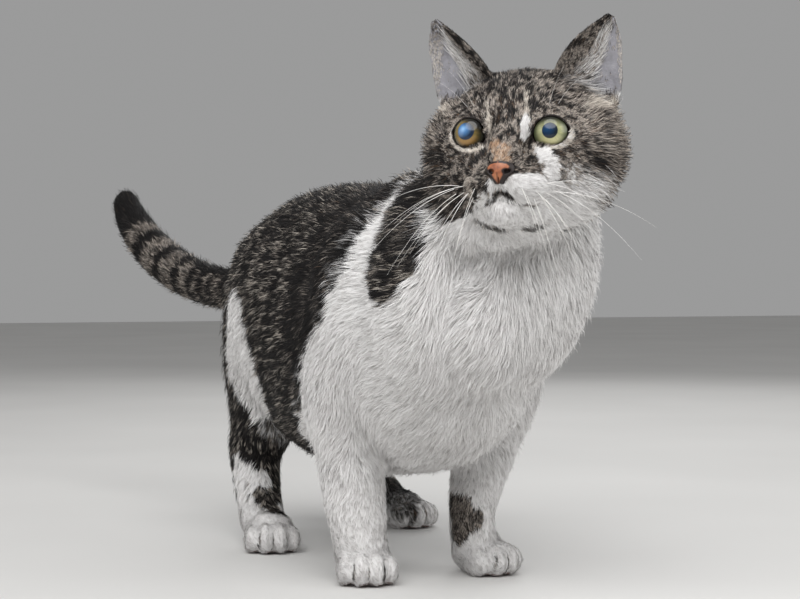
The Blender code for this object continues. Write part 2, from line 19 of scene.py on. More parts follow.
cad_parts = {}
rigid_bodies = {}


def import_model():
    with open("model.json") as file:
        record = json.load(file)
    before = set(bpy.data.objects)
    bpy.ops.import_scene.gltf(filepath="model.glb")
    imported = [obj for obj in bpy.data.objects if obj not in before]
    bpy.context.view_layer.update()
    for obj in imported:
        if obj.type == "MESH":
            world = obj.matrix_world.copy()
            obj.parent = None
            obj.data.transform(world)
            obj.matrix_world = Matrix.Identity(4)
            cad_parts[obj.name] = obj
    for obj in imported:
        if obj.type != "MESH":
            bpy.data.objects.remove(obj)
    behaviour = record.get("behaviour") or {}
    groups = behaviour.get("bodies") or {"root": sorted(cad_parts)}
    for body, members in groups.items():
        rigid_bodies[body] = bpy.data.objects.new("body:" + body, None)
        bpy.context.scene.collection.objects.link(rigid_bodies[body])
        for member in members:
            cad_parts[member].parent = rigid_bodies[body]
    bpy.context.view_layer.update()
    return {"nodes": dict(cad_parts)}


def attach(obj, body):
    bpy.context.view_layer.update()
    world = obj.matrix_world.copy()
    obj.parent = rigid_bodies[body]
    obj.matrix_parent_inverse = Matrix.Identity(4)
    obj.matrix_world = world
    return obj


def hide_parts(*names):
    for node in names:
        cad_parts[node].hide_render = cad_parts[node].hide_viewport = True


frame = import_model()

MM = 0.001

# %% [markdown]
# Colours are noted as sRGB hex codes, as a colour picker shows them. Blender works with
# linear light, so one function turns a code into linear numbers. Nodes are added through one
# small helper, which takes the input values by the names that the node shows.

# %% Colours and nodes


def linear(code):
    parts = np.array([int(code[i : i + 2], 16) for i in (0, 2, 4)]) / 255
    bent = ((parts + 0.055) / 1.055) ** 2.4
    return (*np.where(parts <= 0.04045, parts / 12.92, bent).tolist(), 1.0)


def add_node(tree, kind, settings=None, **inputs):
    """A node with its settings, and inputs given as values or as other nodes' outputs."""
    node = tree.nodes.new(kind)
    for name, value in (settings or {}).items():
        setattr(node, name, value)
    for name, value in inputs.items():
        key = int(name[1:]) if name[1:].isdigit() else name.replace("_", " ")
        if isinstance(value, bpy.types.NodeSocket):
            tree.links.new(value, node.inputs[key])
        else:
            node.inputs[key].default_value = value
    return node


def new_material(name, roughness, **settings):
    """A material with its Principled shader set, and its node tree."""
    made = bpy.data.materials.new(name)
    made.use_nodes = True
    shader = made.node_tree.nodes["Principled BSDF"]
    shader.inputs["Roughness"].default_value = roughness
    for key, value in settings.items():
        shader.inputs[key.replace("_", " ")].default_value = value
    return made, made.node_tree, shader


def mix(tree, share, low, high, blend="MIX"):
    """Colour low turned into colour high by share."""
    settings = {"data_type": "RGBA", "blend_type": blend}
    return add_node(tree, "ShaderNodeMix", settings, _0=share, _6=low, _7=high).outputs[2]


def maths(tree, operation, *values):
    """The result of some arithmetic on values or on other nodes' outputs."""
    inputs = {"_%d" % k: value for k, value in enumerate(values)}
    return add_node(tree, "ShaderNodeMath", {"operation": operation}, **inputs).outputs[0]


def smooth_range(tree, value, low, high, first=0.0, last=1.0):
    """A value between low and high turned into one between first and last."""
    settings = {"interpolation_type": "SMOOTHSTEP"}
    limits = {"From_Min": low, "From_Max": high, "To_Min": first, "To_Max": last}
    return add_node(tree, "ShaderNodeMapRange", settings, Value=value, **limits).outputs[0]


def ramp_of(tree, value, stops):
    """A colour ramp through stops of position and hex code."""
    node = add_node(tree, "ShaderNodeValToRGB", Fac=value)
    bar = node.color_ramp.elements
    while len(bar) < len(stops):
        bar.new(0.5)
    for element, (position, code) in zip(bar, stops):
        element.position = position
        element.color = linear(code)
    return node.outputs["Color"]


def speckled(name, roughness, scale, stops, detail=2.0, **settings):
    """A material whose colour runs through the stops by fine noise."""
    made, tree, shader = new_material(name, roughness, **settings)
    place = add_node(tree, "ShaderNodeTexCoord").outputs["Object"]
    grain = add_node(tree, "ShaderNodeTexNoise", Vector=place, Scale=scale, Detail=detail)
    tree.links.new(ramp_of(tree, grain.outputs["Fac"], stops), shader.inputs["Base Color"])
    return made


print("white fur in linear light:", np.round(linear("f2efeb"), 3).tolist())

# %% [markdown]
# The coat follows the surface of the body, so much of the work is arithmetic on arrays of
# points. Meshes are read into arrays, changed, and written back in one go.

# %% Meshes as arrays


def points_of(mesh):
    flat = np.empty(len(mesh.vertices) * 3, np.float32)
    mesh.vertices.foreach_get("co", flat)
    return flat.reshape(-1, 3).astype(float)


def normals_of(mesh):
    flat = np.empty(len(mesh.vertices) * 3, np.float32)
    mesh.vertex_normals.foreach_get("vector", flat)
    return flat.reshape(-1, 3).astype(float)


def triangles_of(mesh):
    mesh.calc_loop_triangles()
    flat = np.empty(len(mesh.loop_triangles) * 3, np.int32)
    mesh.loop_triangles.foreach_get("vertices", flat)
    return flat.reshape(-1, 3)


def edges_of(mesh):
    flat = np.empty(len(mesh.edges) * 2, np.int32)
    mesh.edges.foreach_get("vertices", flat)
    return flat.reshape(-1, 2)


def move_points(mesh, points):
    mesh.vertices.foreach_set("co", points.astype(np.float32).ravel())
    mesh.update()


def unit(vectors):
    length = np.linalg.norm(vectors, axis=-1, keepdims=True)
    return vectors / np.maximum(length, 1e-9)


def ramp(value, low, high):
    """0 below low, 1 above high, smooth between them."""
    t = np.clip((value - low) / (high - low), 0, 1)
    return t * t * (3 - 2 * t)


def spread(values, edges, passes):
    """Blurs values over a mesh: each point moves half way to the mean of its neighbours."""
    count = len(values)
    here = np.concatenate((edges[:, 0], edges[:, 1]))
    there = np.concatenate((edges[:, 1], edges[:, 0]))
    number = np.maximum(np.bincount(here, minlength=count), 1)
    for _ in range(passes):
        for k in range(values.shape[1]):
            total = np.bincount(here, values[there, k], count)
            values[:, k] = (values[:, k] + total / number) / 2
    return values


def set_attribute(mesh, name, kind, values):
    """Stores values on the points: kind FLOAT takes numbers, FLOAT_COLOR rows of four."""
    layer = mesh.attributes.new(name, kind, "POINT")
    key = "value" if kind == "FLOAT" else "color"
    layer.data.foreach_set(key, np.ascontiguousarray(values, np.float32).ravel())


def tree_of(points):
    """A search tree that finds the nearest of the points."""
    tree = KDTree(len(points))
    for k, place in enumerate(points):
        tree.insert(place, k)
    tree.balance()
    return tree


def nearest(tree, points):
    return np.array([tree.find(p)[1] for p in points])


# %% [markdown]
# A real coat is never even. Its patches have ragged edges and the hair lies in waves. The
# raggedness comes from lattice noise: random numbers on a grid, blended smoothly between its
# corners. The same place always gives the same number, so skin and coat agree.

# %% Noise


def lattice_noise(points, size, seed=0):
    """A number from 0 to 1 for each point, in soft lumps about as wide as size."""
    scaled = points / size + seed * 17.31
    cell = np.floor(scaled).astype(np.int64)
    part = scaled - cell
    part = part * part * (3 - 2 * part)
    total = np.zeros(len(points))
    for corner in itertools.product((0, 1), repeat=3):
        key = cell + np.array(corner)
        mixed = key[:, 0] * 73856093 ^ key[:, 1] * 19349663 ^ key[:, 2] * 83492791
        mixed = (mixed ^ (mixed >> 13)) * 1274126177
        value = ((mixed ^ (mixed >> 16)) & 0xFFFF) / 0xFFFF
        share = np.where(np.array(corner), part, 1 - part).prod(1)
        total += value * share
    return total


# %% [markdown]
# Frames: the head, each eye and each paw have one of their own. In the head's frame the
# face looks along -Y and sizes are in millimetres, so that a place on the face can be
# given as on a drawing.

# %% The frames of the head and the eyes
HEAD_CENTRE = (0.0056, -0.2866, 0.2536)
HEAD_YAW = -39.5
HEAD_PITCH = 8.0
NOSE_TIP = np.array((0, -60, -18))
EYE_CENTRE = (22.2, -29.0, 7.2)
EYE_RADIUS = 11.4
EYE_OUTWARD = 8
EYE_UPWARD = 2
SIDES = {"right": -1, "left": 1}

head_matrix = (
    Matrix.Translation(HEAD_CENTRE)
    @ Matrix.Rotation(math.radians(HEAD_YAW), 4, "Z")
    @ Matrix.Rotation(math.radians(-HEAD_PITCH), 4, "X")
    @ Matrix.Scale(MM, 4)
)


def eye_matrix(side):
    return (
        head_matrix
        @ Matrix.Translation((EYE_CENTRE[0] * side, *EYE_CENTRE[1:]))
        @ Matrix.Rotation(math.radians(EYE_OUTWARD * side), 4, "Z")
        @ Matrix.Rotation(math.radians(-EYE_UPWARD), 4, "X")
    )


def placed(points, matrix):
    """Points carried by a matrix."""
    grid = np.array(matrix)
    return points @ grid[:3, :3].T + grid[:3, 3]


def to_head(points):
    return placed(points, head_matrix.inverted())


def from_head(directions):
    """Directions of the head's frame, turned into the cat's."""
    return directions @ np.array(head_matrix.to_3x3()).T / MM


print("nose tip, m:", np.round(placed(NOSE_TIP[None], head_matrix), 4).tolist())

# %% [markdown]
# The skin starts as copies of the flesh nodes. Their meshes are loose triangles, so each
# copy is merged first. It is swollen a little, to close the thin cuts between neighbours,
# and a voxel remesh then fuses them all. Eyeballs and nose are fused in too, as filling.

# %% Copy and fuse the flesh
SWELL = 0.25 * MM
SKIN_VOXEL = 1.25 * MM
FLESH = [n for n in frame["nodes"] if not n.startswith(("eye", "nose", "ear"))]
COATED = [*FLESH, "ear_right", "ear_left"]


def only(obj):
    """Makes obj the one selected and active object."""
    bpy.ops.object.select_all(action="DESELECT")
    obj.select_set(True)
    bpy.context.view_layer.objects.active = obj


def finish_modifier(obj, kind, **settings):
    only(obj)
    modifier = obj.modifiers.new(kind.title(), kind)
    for name, value in settings.items():
        setattr(modifier, name, value)
    bpy.ops.object.modifier_apply(modifier=modifier.name)


def new_object(name, data):
    obj = bpy.data.objects.new(name, data)
    bpy.context.scene.collection.objects.link(obj)
    return obj


def merged_copy(name, node, swell):
    mesh = frame["nodes"][node].data.copy()
    mesh.name = name
    mesh.materials.clear()
    bm = bmesh.new()
    bm.from_mesh(mesh)
    bmesh.ops.remove_doubles(bm, verts=bm.verts, dist=0.02 * MM)
    bm.to_mesh(mesh)
    bm.free()
    move_points(mesh, points_of(mesh) + normals_of(mesh) * swell)
    return new_object(name, mesh)


def join(name, pieces):
    bpy.ops.object.select_all(action="DESELECT")
    for piece in pieces:
        piece.select_set(True)
    bpy.context.view_layer.objects.active = pieces[0]
    bpy.ops.object.join()
    pieces[0].name = name
    return pieces[0]


filling = [merged_copy("filling", n, 0.4 * MM) for n in ("eye_left", "eye_right")]
filling.append(merged_copy("filling", "nose", -0.3 * MM))
skin = join("skin", [merged_copy("flesh", n, SWELL) for n in FLESH] + filling)
finish_modifier(skin, "REMESH", mode="VOXEL", voxel_size=SKIN_VOXEL)
print("fused flesh:", len(skin.data.vertices), "points")

# %% [markdown]
# Each point of the skin belongs to the nearest node of the solids. That label gives it the
# length, lift and lie of its hair. The numbers are blurred over the mesh afterwards, so
# that one part runs into the next as on a living animal.

# %% The hair of each part
EAR_TIPS = {"right": (-54.5, -4, 81), "left": (50.0, -4, 79.6)}
EAR_FEET = {"right": (-36, -5.5, 38), "left": (36, -5.5, 38)}
EAR_INNER = (18, -14, 46)
EAR_OUTER = (51.5, 3, 30)
EAR_CUP = 40.0
# The way that the hollow of an ear faces, and how far it faces out to its side.
EAR_FACING = (0, -0.92, 0.1)
EAR_OUTWARD = 0.38
# Hair length, lift off the skin and depth of the skin below the coat's tips, in mm, then
# the way that the hair lies.
HAIR = {
    "head": (6, 1.5, 1.5, (0, 1, 0)),
    "jaw": (4, 1.0, 1.0, (0, 0.6, -0.8)),
    "neck": (12, 3.8, 4.6, (0, 1, -0.3)),
    "chest": (12, 3.8, 4.8, (0, 1, -0.34)),
    "belly": (11.5, 4.0, 4.6, (0, 1, -0.28)),
    "rump": (11, 4.0, 5.6, (0, 0.85, -0.5)),
    "thigh": (10, 3.6, 4.8, (0, 0.5, -0.9)),
    "upper_foreleg": (9.5, 3.6, 4.8, (0, 0.45, -0.9)),
    "lower_foreleg": (7, 1.9, 1.8, (0, 0.12, -1)),
    "lower_hindleg": (7.5, 2.0, 1.9, (0, 0.1, -1)),
    "forepaw": (4.5, 1.1, 0.9, (0, -0.8, -0.5)),
    "hindpaw": (4.5, 1.1, 0.9, (0, -0.8, -0.5)),
    "tail_base": (12, 4.2, 3.8, (0, 1, 0)),
    "tail_middle": (12, 4.2, 3.6, (0, 1, 0)),
    "tail_tip": (12, 4.0, 3.4, (0, 1, 0)),
    "ear": (3.5, 0.7, 0.3, (0, 0, 1)),
}
# Middle line of the tail, from rump to tip.
TAIL_LINE = np.array(
    (
        (-0.0153, 0.0736, 0.190),
        (-0.0213, 0.1086, 0.180),
        (-0.0313, 0.1536, 0.176),
        (-0.0413, 0.1936, 0.179),
        (-0.0513, 0.2336, 0.188),
        (-0.0603, 0.2736, 0.202),
        (-0.0683, 0.3036, 0.220),
        (-0.0733, 0.3236, 0.238),
        (-0.0753, 0.3326, 0.249),
    )
)


def along_line(points, line):
    """How far along a line of points each point lies, 0 to 1, and the line's direction there."""
    runs = np.diff(line, axis=0)
    sizes = np.linalg.norm(runs, axis=1)
    starts = np.concatenate(((0,), np.cumsum(sizes)))
    best = np.full(len(points), 1e9)
    place = np.zeros(len(points))
    lie = np.zeros((len(points), 3))
    for start, run, size, before in zip(line, runs, sizes, starts):
        t = np.clip((points - start) @ run / size**2, 0, 1)
        gap = np.linalg.norm(points - start - t[:, None] * run, axis=1)
        nearer = gap < best
        best[nearer] = gap[nearer]
        place[nearer] = (before + t * size)[nearer] / starts[-1]
        lie[nearer] = run / size
    return place, lie


def kind_of(name):
    return name.removesuffix("_left").removesuffix("_right")


def ear_across(local):
    """0 at the inner edge of an ear's cup and 1 at its outer edge, for head points."""
    up = np.clip((local[:, 2] - EAR_FEET["left"][2]) / EAR_CUP, 0, 0.95)
    inner_edge = EAR_INNER[0] + (EAR_TIPS["left"][0] - EAR_INNER[0]) * up
    outer_edge = EAR_OUTER[0] + (EAR_TIPS["left"][0] - EAR_OUTER[0]) * up
    return (abs(local[:, 0]) - inner_edge) / (outer_edge - inner_edge)


def inner_ear(points, normals):
    """1 on the hollow side of the ears."""
    local = to_head(points)
    turned = normals @ np.array(head_matrix.to_3x3()) / MM
    facing = turned @ np.array(EAR_FACING) + turned[:, 0] * np.sign(local[:, 0]) * EAR_OUTWARD
    there = ramp(local[:, 2], 33, 40) * ramp(abs(local[:, 0]), 20, 26)
    there *= np.linalg.norm(local, axis=1) < 110
    return ramp(facing, -0.15, 0.25) * there


def label_points(points):
    """The flesh node that lies nearest to each point."""
    clouds = [points_of(frame["nodes"][name].data) for name in COATED]
    owner = np.repeat(np.arange(len(COATED)), [len(cloud) for cloud in clouds])
    return owner[nearest(tree_of(np.concatenate(clouds)), points)]


print("kinds of hair:", len(HAIR))

# %% [markdown]
# The face has the shortest hair, and it grows away from the nose: up the bridge and the
# forehead, out over the cheeks and back under the chin. Down the front of the neck and
# chest the hair hangs, while on the flanks it lies towards the tail.

# %% Lie and length at every point


def head_hair(local):
    """Lie (3 columns), then length, lift and depth in mm, for head points."""
    away = np.linalg.norm(local - NOSE_TIP, axis=1)
    flow = unit(local - NOSE_TIP)
    flow[:, 2] -= 0.35 * ramp(abs(local[:, 0]), 22, 45) * ramp(-local[:, 2], -14, 12)
    rear = ramp(local[:, 1], -2, 34)[:, None]
    lie = from_head(flow) * (1 - rear) + np.array((0.1, 1, -0.35)) * rear
    low_cheek = ramp(-local[:, 2], 5, 30) * ramp(abs(local[:, 0]), 20, 40)
    length = 3.6 + 6.0 * ramp(away, 22, 70) + 5.0 * low_cheek + 4 * rear[:, 0]
    eyes = np.abs(local) - np.abs(EYE_CENTRE)
    by_eye = 1 - ramp(np.linalg.norm(eyes, axis=1), 14, 22)
    length -= (length - 2.6) * by_eye
    cheek = 1.25 * ramp(local[:, 0] * 1.1, 34, 46) + 0.8 * ramp(-local[:, 0], 34, 46)
    cheek *= 1 - ramp(local[:, 2], 22, 34)
    crown = ramp(local[:, 2], 30, 42) * (1 - ramp(abs(local[:, 0]), 20, 34))
    depth = length * 0.2 + 0.2 + 2.6 * cheek + 2.4 * crown
    return np.column_stack((lie, length, length * 0.2, depth))


def hair_values(points, normals, labels):
    """Lie (3 columns), then length, lift and depth in metres."""
    kinds = [kind_of(name) for name in COATED]
    table = np.array([(*HAIR[k][3], *HAIR[k][:3]) for k in kinds], float)
    values = table[labels]
    named = np.array(kinds)[labels]
    front = ramp(-normals[:, 1], 0.7, 1.0) * ramp(-points[:, 1], 0.14, 0.22)
    bib = np.isin(named, ("neck", "chest")) * front
    hang = np.stack((np.sign(points[:, 0]) * 0.25, points[:, 0] * 0, points[:, 0] * 0 - 1), 1)
    values[:, :3] += bib[:, None] * (hang - values[:, :3])
    values[:, 3] += bib * 2
    wrist = (named == "lower_foreleg") * (1 - ramp(points[:, 2], 0.038, 0.056))
    values[:, 3:6] *= (1 - 0.42 * wrist)[:, None]
    tail = np.char.startswith(named, "tail")
    values[tail, :3] = along_line(points[tail], TAIL_LINE)[1]
    head = np.isin(named, ("head", "jaw"))
    values[head] = head_hair(to_head(points[head]))
    local = to_head(points)
    rim = (named == "ear") * ramp(ear_across(local), 0.6, 0.85)
    values[:, 3] *= 1 - 0.35 * rim
    values[:, 4] *= 1 - 0.6 * rim
    values[:, 5] += 0.5 * rim
    outward = np.sign(local[:, 0]) * (0.8 - 0.75 * ramp(ear_across(local), 0.45, 0.75))
    over_cup = np.column_stack((outward, np.full(len(local), -0.1), np.full(len(local), 0.65)))
    inside = inner_ear(points, normals)[:, None]
    values[:, :3] += inside * (from_head(over_cup) - values[:, :3])
    values[:, 3:] *= MM
    return values


labels = label_points(points_of(skin.data))
print("points with a label:", len(labels))

# %% [markdown]
# Now the skin is smoothed and sinks below the tips of the coat. Where the hair is long it
# sinks further. A hollow below the jaw parts the head from the bib. Trunk and legs need few
# faces below their coat, so only there the mesh is thinned.

# %% Smooth, sink and thin the skin
SKIN_TRIANGLES = 150000
FINELY_KEPT = ("head", "jaw", "forepaw", "hindpaw")
# Depth of the hollow of the throat in mm, then its middle and its reach, across and upward.
THROAT_DEPTH = 12.0
THROAT_MIDDLE = np.array((-0.004, 0.2))
THROAT_REACH = np.array((0.027, 0.013))

named = np.array([kind_of(n) for n in COATED])[labels]
thinned = skin.vertex_groups.new(name="thin")
thinned.add(np.flatnonzero(~np.isin(named, FINELY_KEPT)).tolist(), 1.0, "REPLACE")
finish_modifier(skin, "SMOOTH", factor=0.5, iterations=6)
points = points_of(skin.data)
values = hair_values(points, normals_of(skin.data), labels)
from_throat = (points[:, (0, 2)] - THROAT_MIDDLE) / THROAT_REACH
throat = np.exp(-(from_throat**2).sum(1)) * ramp(-points[:, 1], 0.26, 0.285)
throat *= ~np.isin(named, ("head", "jaw"))
values[:, 5] += THROAT_DEPTH * MM * throat
values = spread(values, edges_of(skin.data), 30)
move_points(skin.data, points - normals_of(skin.data) * values[:, 5:6])
whole = len(triangles_of(skin.data))
finish_modifier(
    skin, "DECIMATE", ratio=SKIN_TRIANGLES / whole, vertex_group="thin", vertex_group_factor=1
)
finish_modifier(skin, "TRIANGULATE")
print("skin:", whole, "triangles thinned to", len(skin.data.polygons))

# %% [markdown]
# An ear is a thin cup. Its solid is smoothed by two levels of subdivision, its root is
# pushed down into the head, so that a Boolean union leaves no gap round it, and its outer
# foot is drawn in a little.

# %% Ears grow out of the skin
# How far the root goes down, as a share of the ear's height, and how far the foot goes in.
EAR_SUNK = 0.14
EAR_DRAWN = 2.6


def ear_height(local, side):
    """0 at an ear's foot, 1 at its tip, for points in the head's frame."""
    foot = np.array(EAR_FEET[side])
    run = np.array(EAR_TIPS[side]) - foot
    return (local - foot) @ run / (run @ run)


def fuse(obj, other, operation):
    finish_modifier(obj, "BOOLEAN", operation=operation, object=other, solver="MANIFOLD")
    bpy.data.objects.remove(other)


for side in SIDES:
    ear = merged_copy("ear", "ear_" + side, 0.0)
    finish_modifier(ear, "SUBSURF", levels=2, render_levels=2)
    local = to_head(points_of(ear.data))
    run = np.array(EAR_TIPS[side]) - np.array(EAR_FEET[side])
    sunk = 1 - ramp(ear_height(local, side), -0.05, 0.35)
    local -= sunk[:, None] * run * EAR_SUNK
    drawn = ramp(abs(local[:, 0]), 42, 52) * (1 - ramp(local[:, 2], 52, 70))
    local[:, 0] -= SIDES[side] * EAR_DRAWN * drawn
    move_points(ear.data, placed(local, head_matrix))
    fuse(skin, ear, "UNION")
    print("ear", side, "fused:", len(skin.data.polygons), "faces")

# %% [markdown]
# The nose leather will be a piece of its own, so the skin below it is pushed back first.
# Then each point of the finished skin gets its hair once more, this time for the blades.

# %% Values of the finished shape
UNDER_LEATHER = 2.5


def nose_across(z):
    """Share of the nose's width that stays bare, at heights in the head's frame."""
    return 0.92 - 0.36 * (1 - ramp(z, -24.5, -18.5))


points = points_of(skin.data)
local = to_head(points)
across = abs(local[:, 0]) / nose_across(local[:, 2])
under_leather = ramp(-local[:, 1], 52, 55) * (1 - ramp(across, 6, 8))
under_leather *= ramp(local[:, 2], -25, -23.5) * (1 - ramp(local[:, 2], -16, -14.5))
local[:, 1] += UNDER_LEATHER * under_leather
points = placed(local, head_matrix)
move_points(skin.data, points)
labels = label_points(points)
values = hair_values(points, normals_of(skin.data), labels)
values = spread(values, edges_of(skin.data), 12)
lengths = values[:, 3] / MM
print("longest and shortest hair, mm:", round(lengths.max(), 1), round(lengths.min(), 1))

# %% [markdown]
# Markings. A patch of colour is described as a string of balls on the body: any point
# inside the string, or in the cones between its balls, has the colour. Noise makes the
# edge ragged. The white of the chest and the tabby saddle meet along a line that is given
# by height and place from front to back.

# %% Patches from strings of balls


def string_gap(points, balls):
    """Distance of points from a string of balls (x, y, z, radius); negative inside."""
    balls = np.array(balls, float)
    gap = np.linalg.norm(points - balls[0, :3], axis=1) - balls[0, 3]
    for start, end in zip(balls, balls[1:]):
        run = end[:3] - start[:3]
        t = np.clip((points - start[:3]) @ run / (run @ run), 0, 1)
        radius = start[3] + (end[3] - start[3]) * t
        near = np.linalg.norm(points - start[:3] - t[:, None] * run, axis=1)
        gap = np.minimum(gap, near - radius)
    return gap


def strings(points, many, wobble, lump, soft, seed):
    """1 inside any of the strings, 0 outside, with an edge that wobbles and fades."""
    gap = np.min([string_gap(points, balls) for balls in many], axis=0)
    gap += (lattice_noise(points, lump, seed) - 0.5) * 2 * wobble
    return 1 - ramp(gap, -soft, soft)


# %% [markdown]
# The strings of the body are in millimetres in the cat's own frame: its nose end is at -Y,
# its right side at -X. The tail's rings are given as shares of its length.

# %% Markings of the body
SADDLE_EDGE = ((60, -40), (75, -62), (91, -101), (111, -128), (133, -145), (151, -176), (164, -183),
               (179, -188), (194, -196), (204, -197), (217, -197), (234, -195), (250, -192), (300, -192))
NAPE_PATCHES = (
    ((-20, -228, 262, 30), (-30, -229, 245, 32), (-48, -228, 226, 21), (-60, -236, 202, 21),
     (-67, -244, 186, 17), (-68, -246, 178, 9)),
    ((-55, -255, 204, 8), (-59, -257, 196, 9), (-60, -258, 190, 8)),
    ((0, -232, 262, 34), (26, -232, 250, 34), (48, -238, 226, 25), (62, -232, 202, 18)),
)
WHITE_PATCHES = (
    ((-79, 2, 150, 12), (-83, -14, 146, 27), (-80, -22, 121, 32), (-74, -27, 100, 20),
     (-68, -32, 86, 12)),
    ((-77, 5, 51, 7), (-73, -9, 46, 8), (-65, -16, 43, 7)),
    ((-79, -2, 42, 8), (-80, -15, 33, 8), (-81, -22, 22, 8)),
    ((-80, 10, 143, 11), (-78, 13, 134, 13), (-78, 6, 118, 13)),
    ((66, 30, 120, 22), (60, 40, 92, 14)),
)
DARK_PATCHES = (
    ((-62, -30, 33, 9), (-58, -37, 28, 8)),
    ((-60, -60, 84, 10), (-60, -30, 80, 9), (-70, -4, 68, 9), (-74, -2, 60, 6)),
    ((-78, 14, 92, 14), (-74, 12, 74, 12)),
)
SHOULDER_BAND = (
    ((-18, -192, 251, 5), (-27, -192, 247, 4.6), (-33, -193, 243, 4.2), (-38, -193, 239, 4),
     (-45, -199, 231, 4), (-53, -204, 221, 4.4), (-60, -207, 211, 5.4), (-65, -206, 202, 7.5)),
)
FORELEG_PATCHES = (
    ((8, -172, 42, 8), (14, -182, 38, 9), (17, -187, 33, 8.5), (12, -181, 26, 8)),
)
# Paler hairs that sweep from the thigh to the edge of the belly.
SWEEP = (((-67, -15, 85, 6), (-61, -17, 79, 7), (-54, -17, 75, 7), (-45, -10, 69, 6)),)
GREY_FOOT = (((58, 48, 30, 16), (60, 34, 22, 15), (60, 22, 14, 12)),)
RUMP_TUFT = (((-30, 66, 200, 8), (-44, 62, 188, 7)),)
# Middle and half width of each dark ring, as shares of the tail, and where its black end starts.
TAIL_RINGS = ((0.358, 0.011), (0.412, 0.012), (0.468, 0.014), (0.55, 0.018), (0.66, 0.022), (0.79, 0.024))
TAIL_END = 0.875
print("strings of balls on the body:", len(NAPE_PATCHES) + len(WHITE_PATCHES) + len(DARK_PATCHES))

# %% [markdown]
# Lids and paws have to be known before the face is coloured, because a pale ring follows
# each lower lid, and shade is painted into the fur in the clefts between the toes.

# %% Outline of the lids
# Half the width and height of the opening, and how far its corners reach beyond that oval.
OPENING = (9.9, 8.6)
INNER_CORNER = (-146, 3.2)
OUTER_CORNER = (10, 0.8)
# The opening sits this far below the middle of the ball, in mm.
LID_DROP = 0.3
CORNER_SPREAD = 0.30
LID_DEPTH = 5.6
print("opening between the lids:", 2 * OPENING[0], "by", 2 * OPENING[1], "mm")

# %% Where the toes part
# Place and turn of each paw, and how far to the side of its middle the clefts lie, in mm.
# Shade is painted into the fur of these clefts.
PAWS = (
    (-0.0523, -0.1859, -16),
    (0.0292, -0.1784, 15),
    (-0.0653, -0.0394, -14),
    (0.0652, 0.0396, 16),
)
CLEFTS = (-8.7, 0.0, 8.7)
print("paws:", len(PAWS))

# %% [markdown]
# The strings of the face are in the head's frame. They hold the white blaze and muzzle, the
# pale and dark lines of a tabby's mask, the orange on the bridge and the line of the lips.

# %% Markings of the face
# The markings sit a little to the left of the middle of the face.
FACE_MIDDLE = 1.0
FACE_WHITE = (
    ((9.5, -40, 16, 1.4), (9, -41, 9, 3.4), (9, -43, 3, 2.8)),
    ((8, -56, -28, 3.5), (14, -52, -31, 4)),
    ((15, -41, -3, 2.2), (21, -41, -6, 4.4), (26, -41, -12, 4.6), (26, -40, -19, 4.6)),
    ((5, -58, -24, 2.6), (13, -56, -25, 5), (21, -50, -26, 6.5), (30, -36, -28, 7)),
    ((-5, -57, -25, 3), (-4, -55, -30, 3)),
    ((2, -57, -26, 4), (4, -55, -31, 4), (9, -50, -33, 3)),
    ((-20, -40, -40, 8), (0, -48, -44, 12), (20, -40, -40, 8)),
)
CHEEK_EDGE = ((-70, -44), (-40, -40), (-26, -36), (-12, -33), (12, -30), (20, -22), (30, -22), (40, -26),
              (47, -29), (54, -27), (70, -22))
FACE_PALE = (
    ((-9, -46, 1, 2.2), (-11, -40, 8, 2.4), (-13, -39, 15, 2), (-14, -38, 21, 1.6), (-15, -34, 28, 1.6)),
    ((10, -39, 19, 2.2), (9, -38, 25, 2), (8, -35, 31, 1.6)),
    ((43, -19, 27, 4), (47, -6, 30, 6), (50, 5, 30, 6)),
    ((-45, -19, 28, 3), (-49, -4, 31, 5)),
    ((-22, -50, -24, 2.2), (-12, -56, -22, 1.8)),
    ((-27, -42, -30, 2), (-17, -53, -30, 2)),
)
FACE_ORANGE = (((-6, -50, -4, 3.6), (1, -55, -6, 5.2), (1, -57, -10, 5), (6, -56, -12, 2.5)),)
FACE_DARK = (
    ((34, -33, 9, 2.0), (38, -32, 7, 2.6), (42, -30, 3, 3.1), (46, -27, -3, 3.3), (49, -22, -8, 3.2),
     (54, -14, -10, 3.2)),
    ((-35, -32, 9, 1), (-42, -29, 6, 1.8), (-47, -27, 0, 2.4), (-47, -27, -6, 2.2)),
    ((11, -42, -1, 2.1), (13, -42, -5, 2.1), (16, -43, -10, 1.7)),
    ((-12, -40, 2, 2.2), (-14, -42, -4, 2.5), (-18, -43, -8, 2.0)),
    ((13, -38, 19, 1.6), (12, -35, 28, 2.0), (11, -27, 40, 2.2), (12, -18, 46, 2.6)),
    ((23, -32, 27, 1.8), (19, -24, 40, 2.4), (18, -15, 47, 2.6)),
    ((1, -38, 27, 1.4), (0, -30, 39, 1.8), (0, -20, 46, 2.2)),
    ((-5, -39, 23, 1.3), (-8, -30, 38, 2.0), (-9, -20, 46, 2.2)),
    ((-12, -37, 26, 1.4), (-15, -29, 37, 2.0), (-18, -20, 45, 2.4)),
    ((-26, -34, 20, 2.4), (-34, -24, 28, 3.2)),
    ((28, -34, 21, 1.6), (36, -27, 26, 2.2), (43, -18, 24, 2)),
    ((-4, -55, -1, 1.1), (-5, -55, -3, 1.1)),
    ((-1, -53, -30, 1.3), (-4.5, -51, -33, 1.7), (-8.5, -47, -35.5, 1.7)),
    ((-1, -53, -30, 1.3), (5.5, -50.5, -33.2, 1.6), (12, -43, -35, 1.6), (16, -39, -35, 1.2)),
)
CHIN_DARK = (
    ((-22, -20, -41, 3.8), (-16, -24, -43, 4.8), (-9, -26, -45.5, 4.8), (-4, -27, -47.5, 3.4)),
    ((9, -27, -46, 3.0), (14, -24, -46, 4.4), (19, -20, -45, 3.8)),
)
print("strings of balls on the face:", len(FACE_WHITE) + len(FACE_PALE) + len(FACE_DARK))

# %% [markdown]
# One function answers, for any place on the cat, how white, dark, orange and pale the hair
# is there. Skin and coat both ask it.

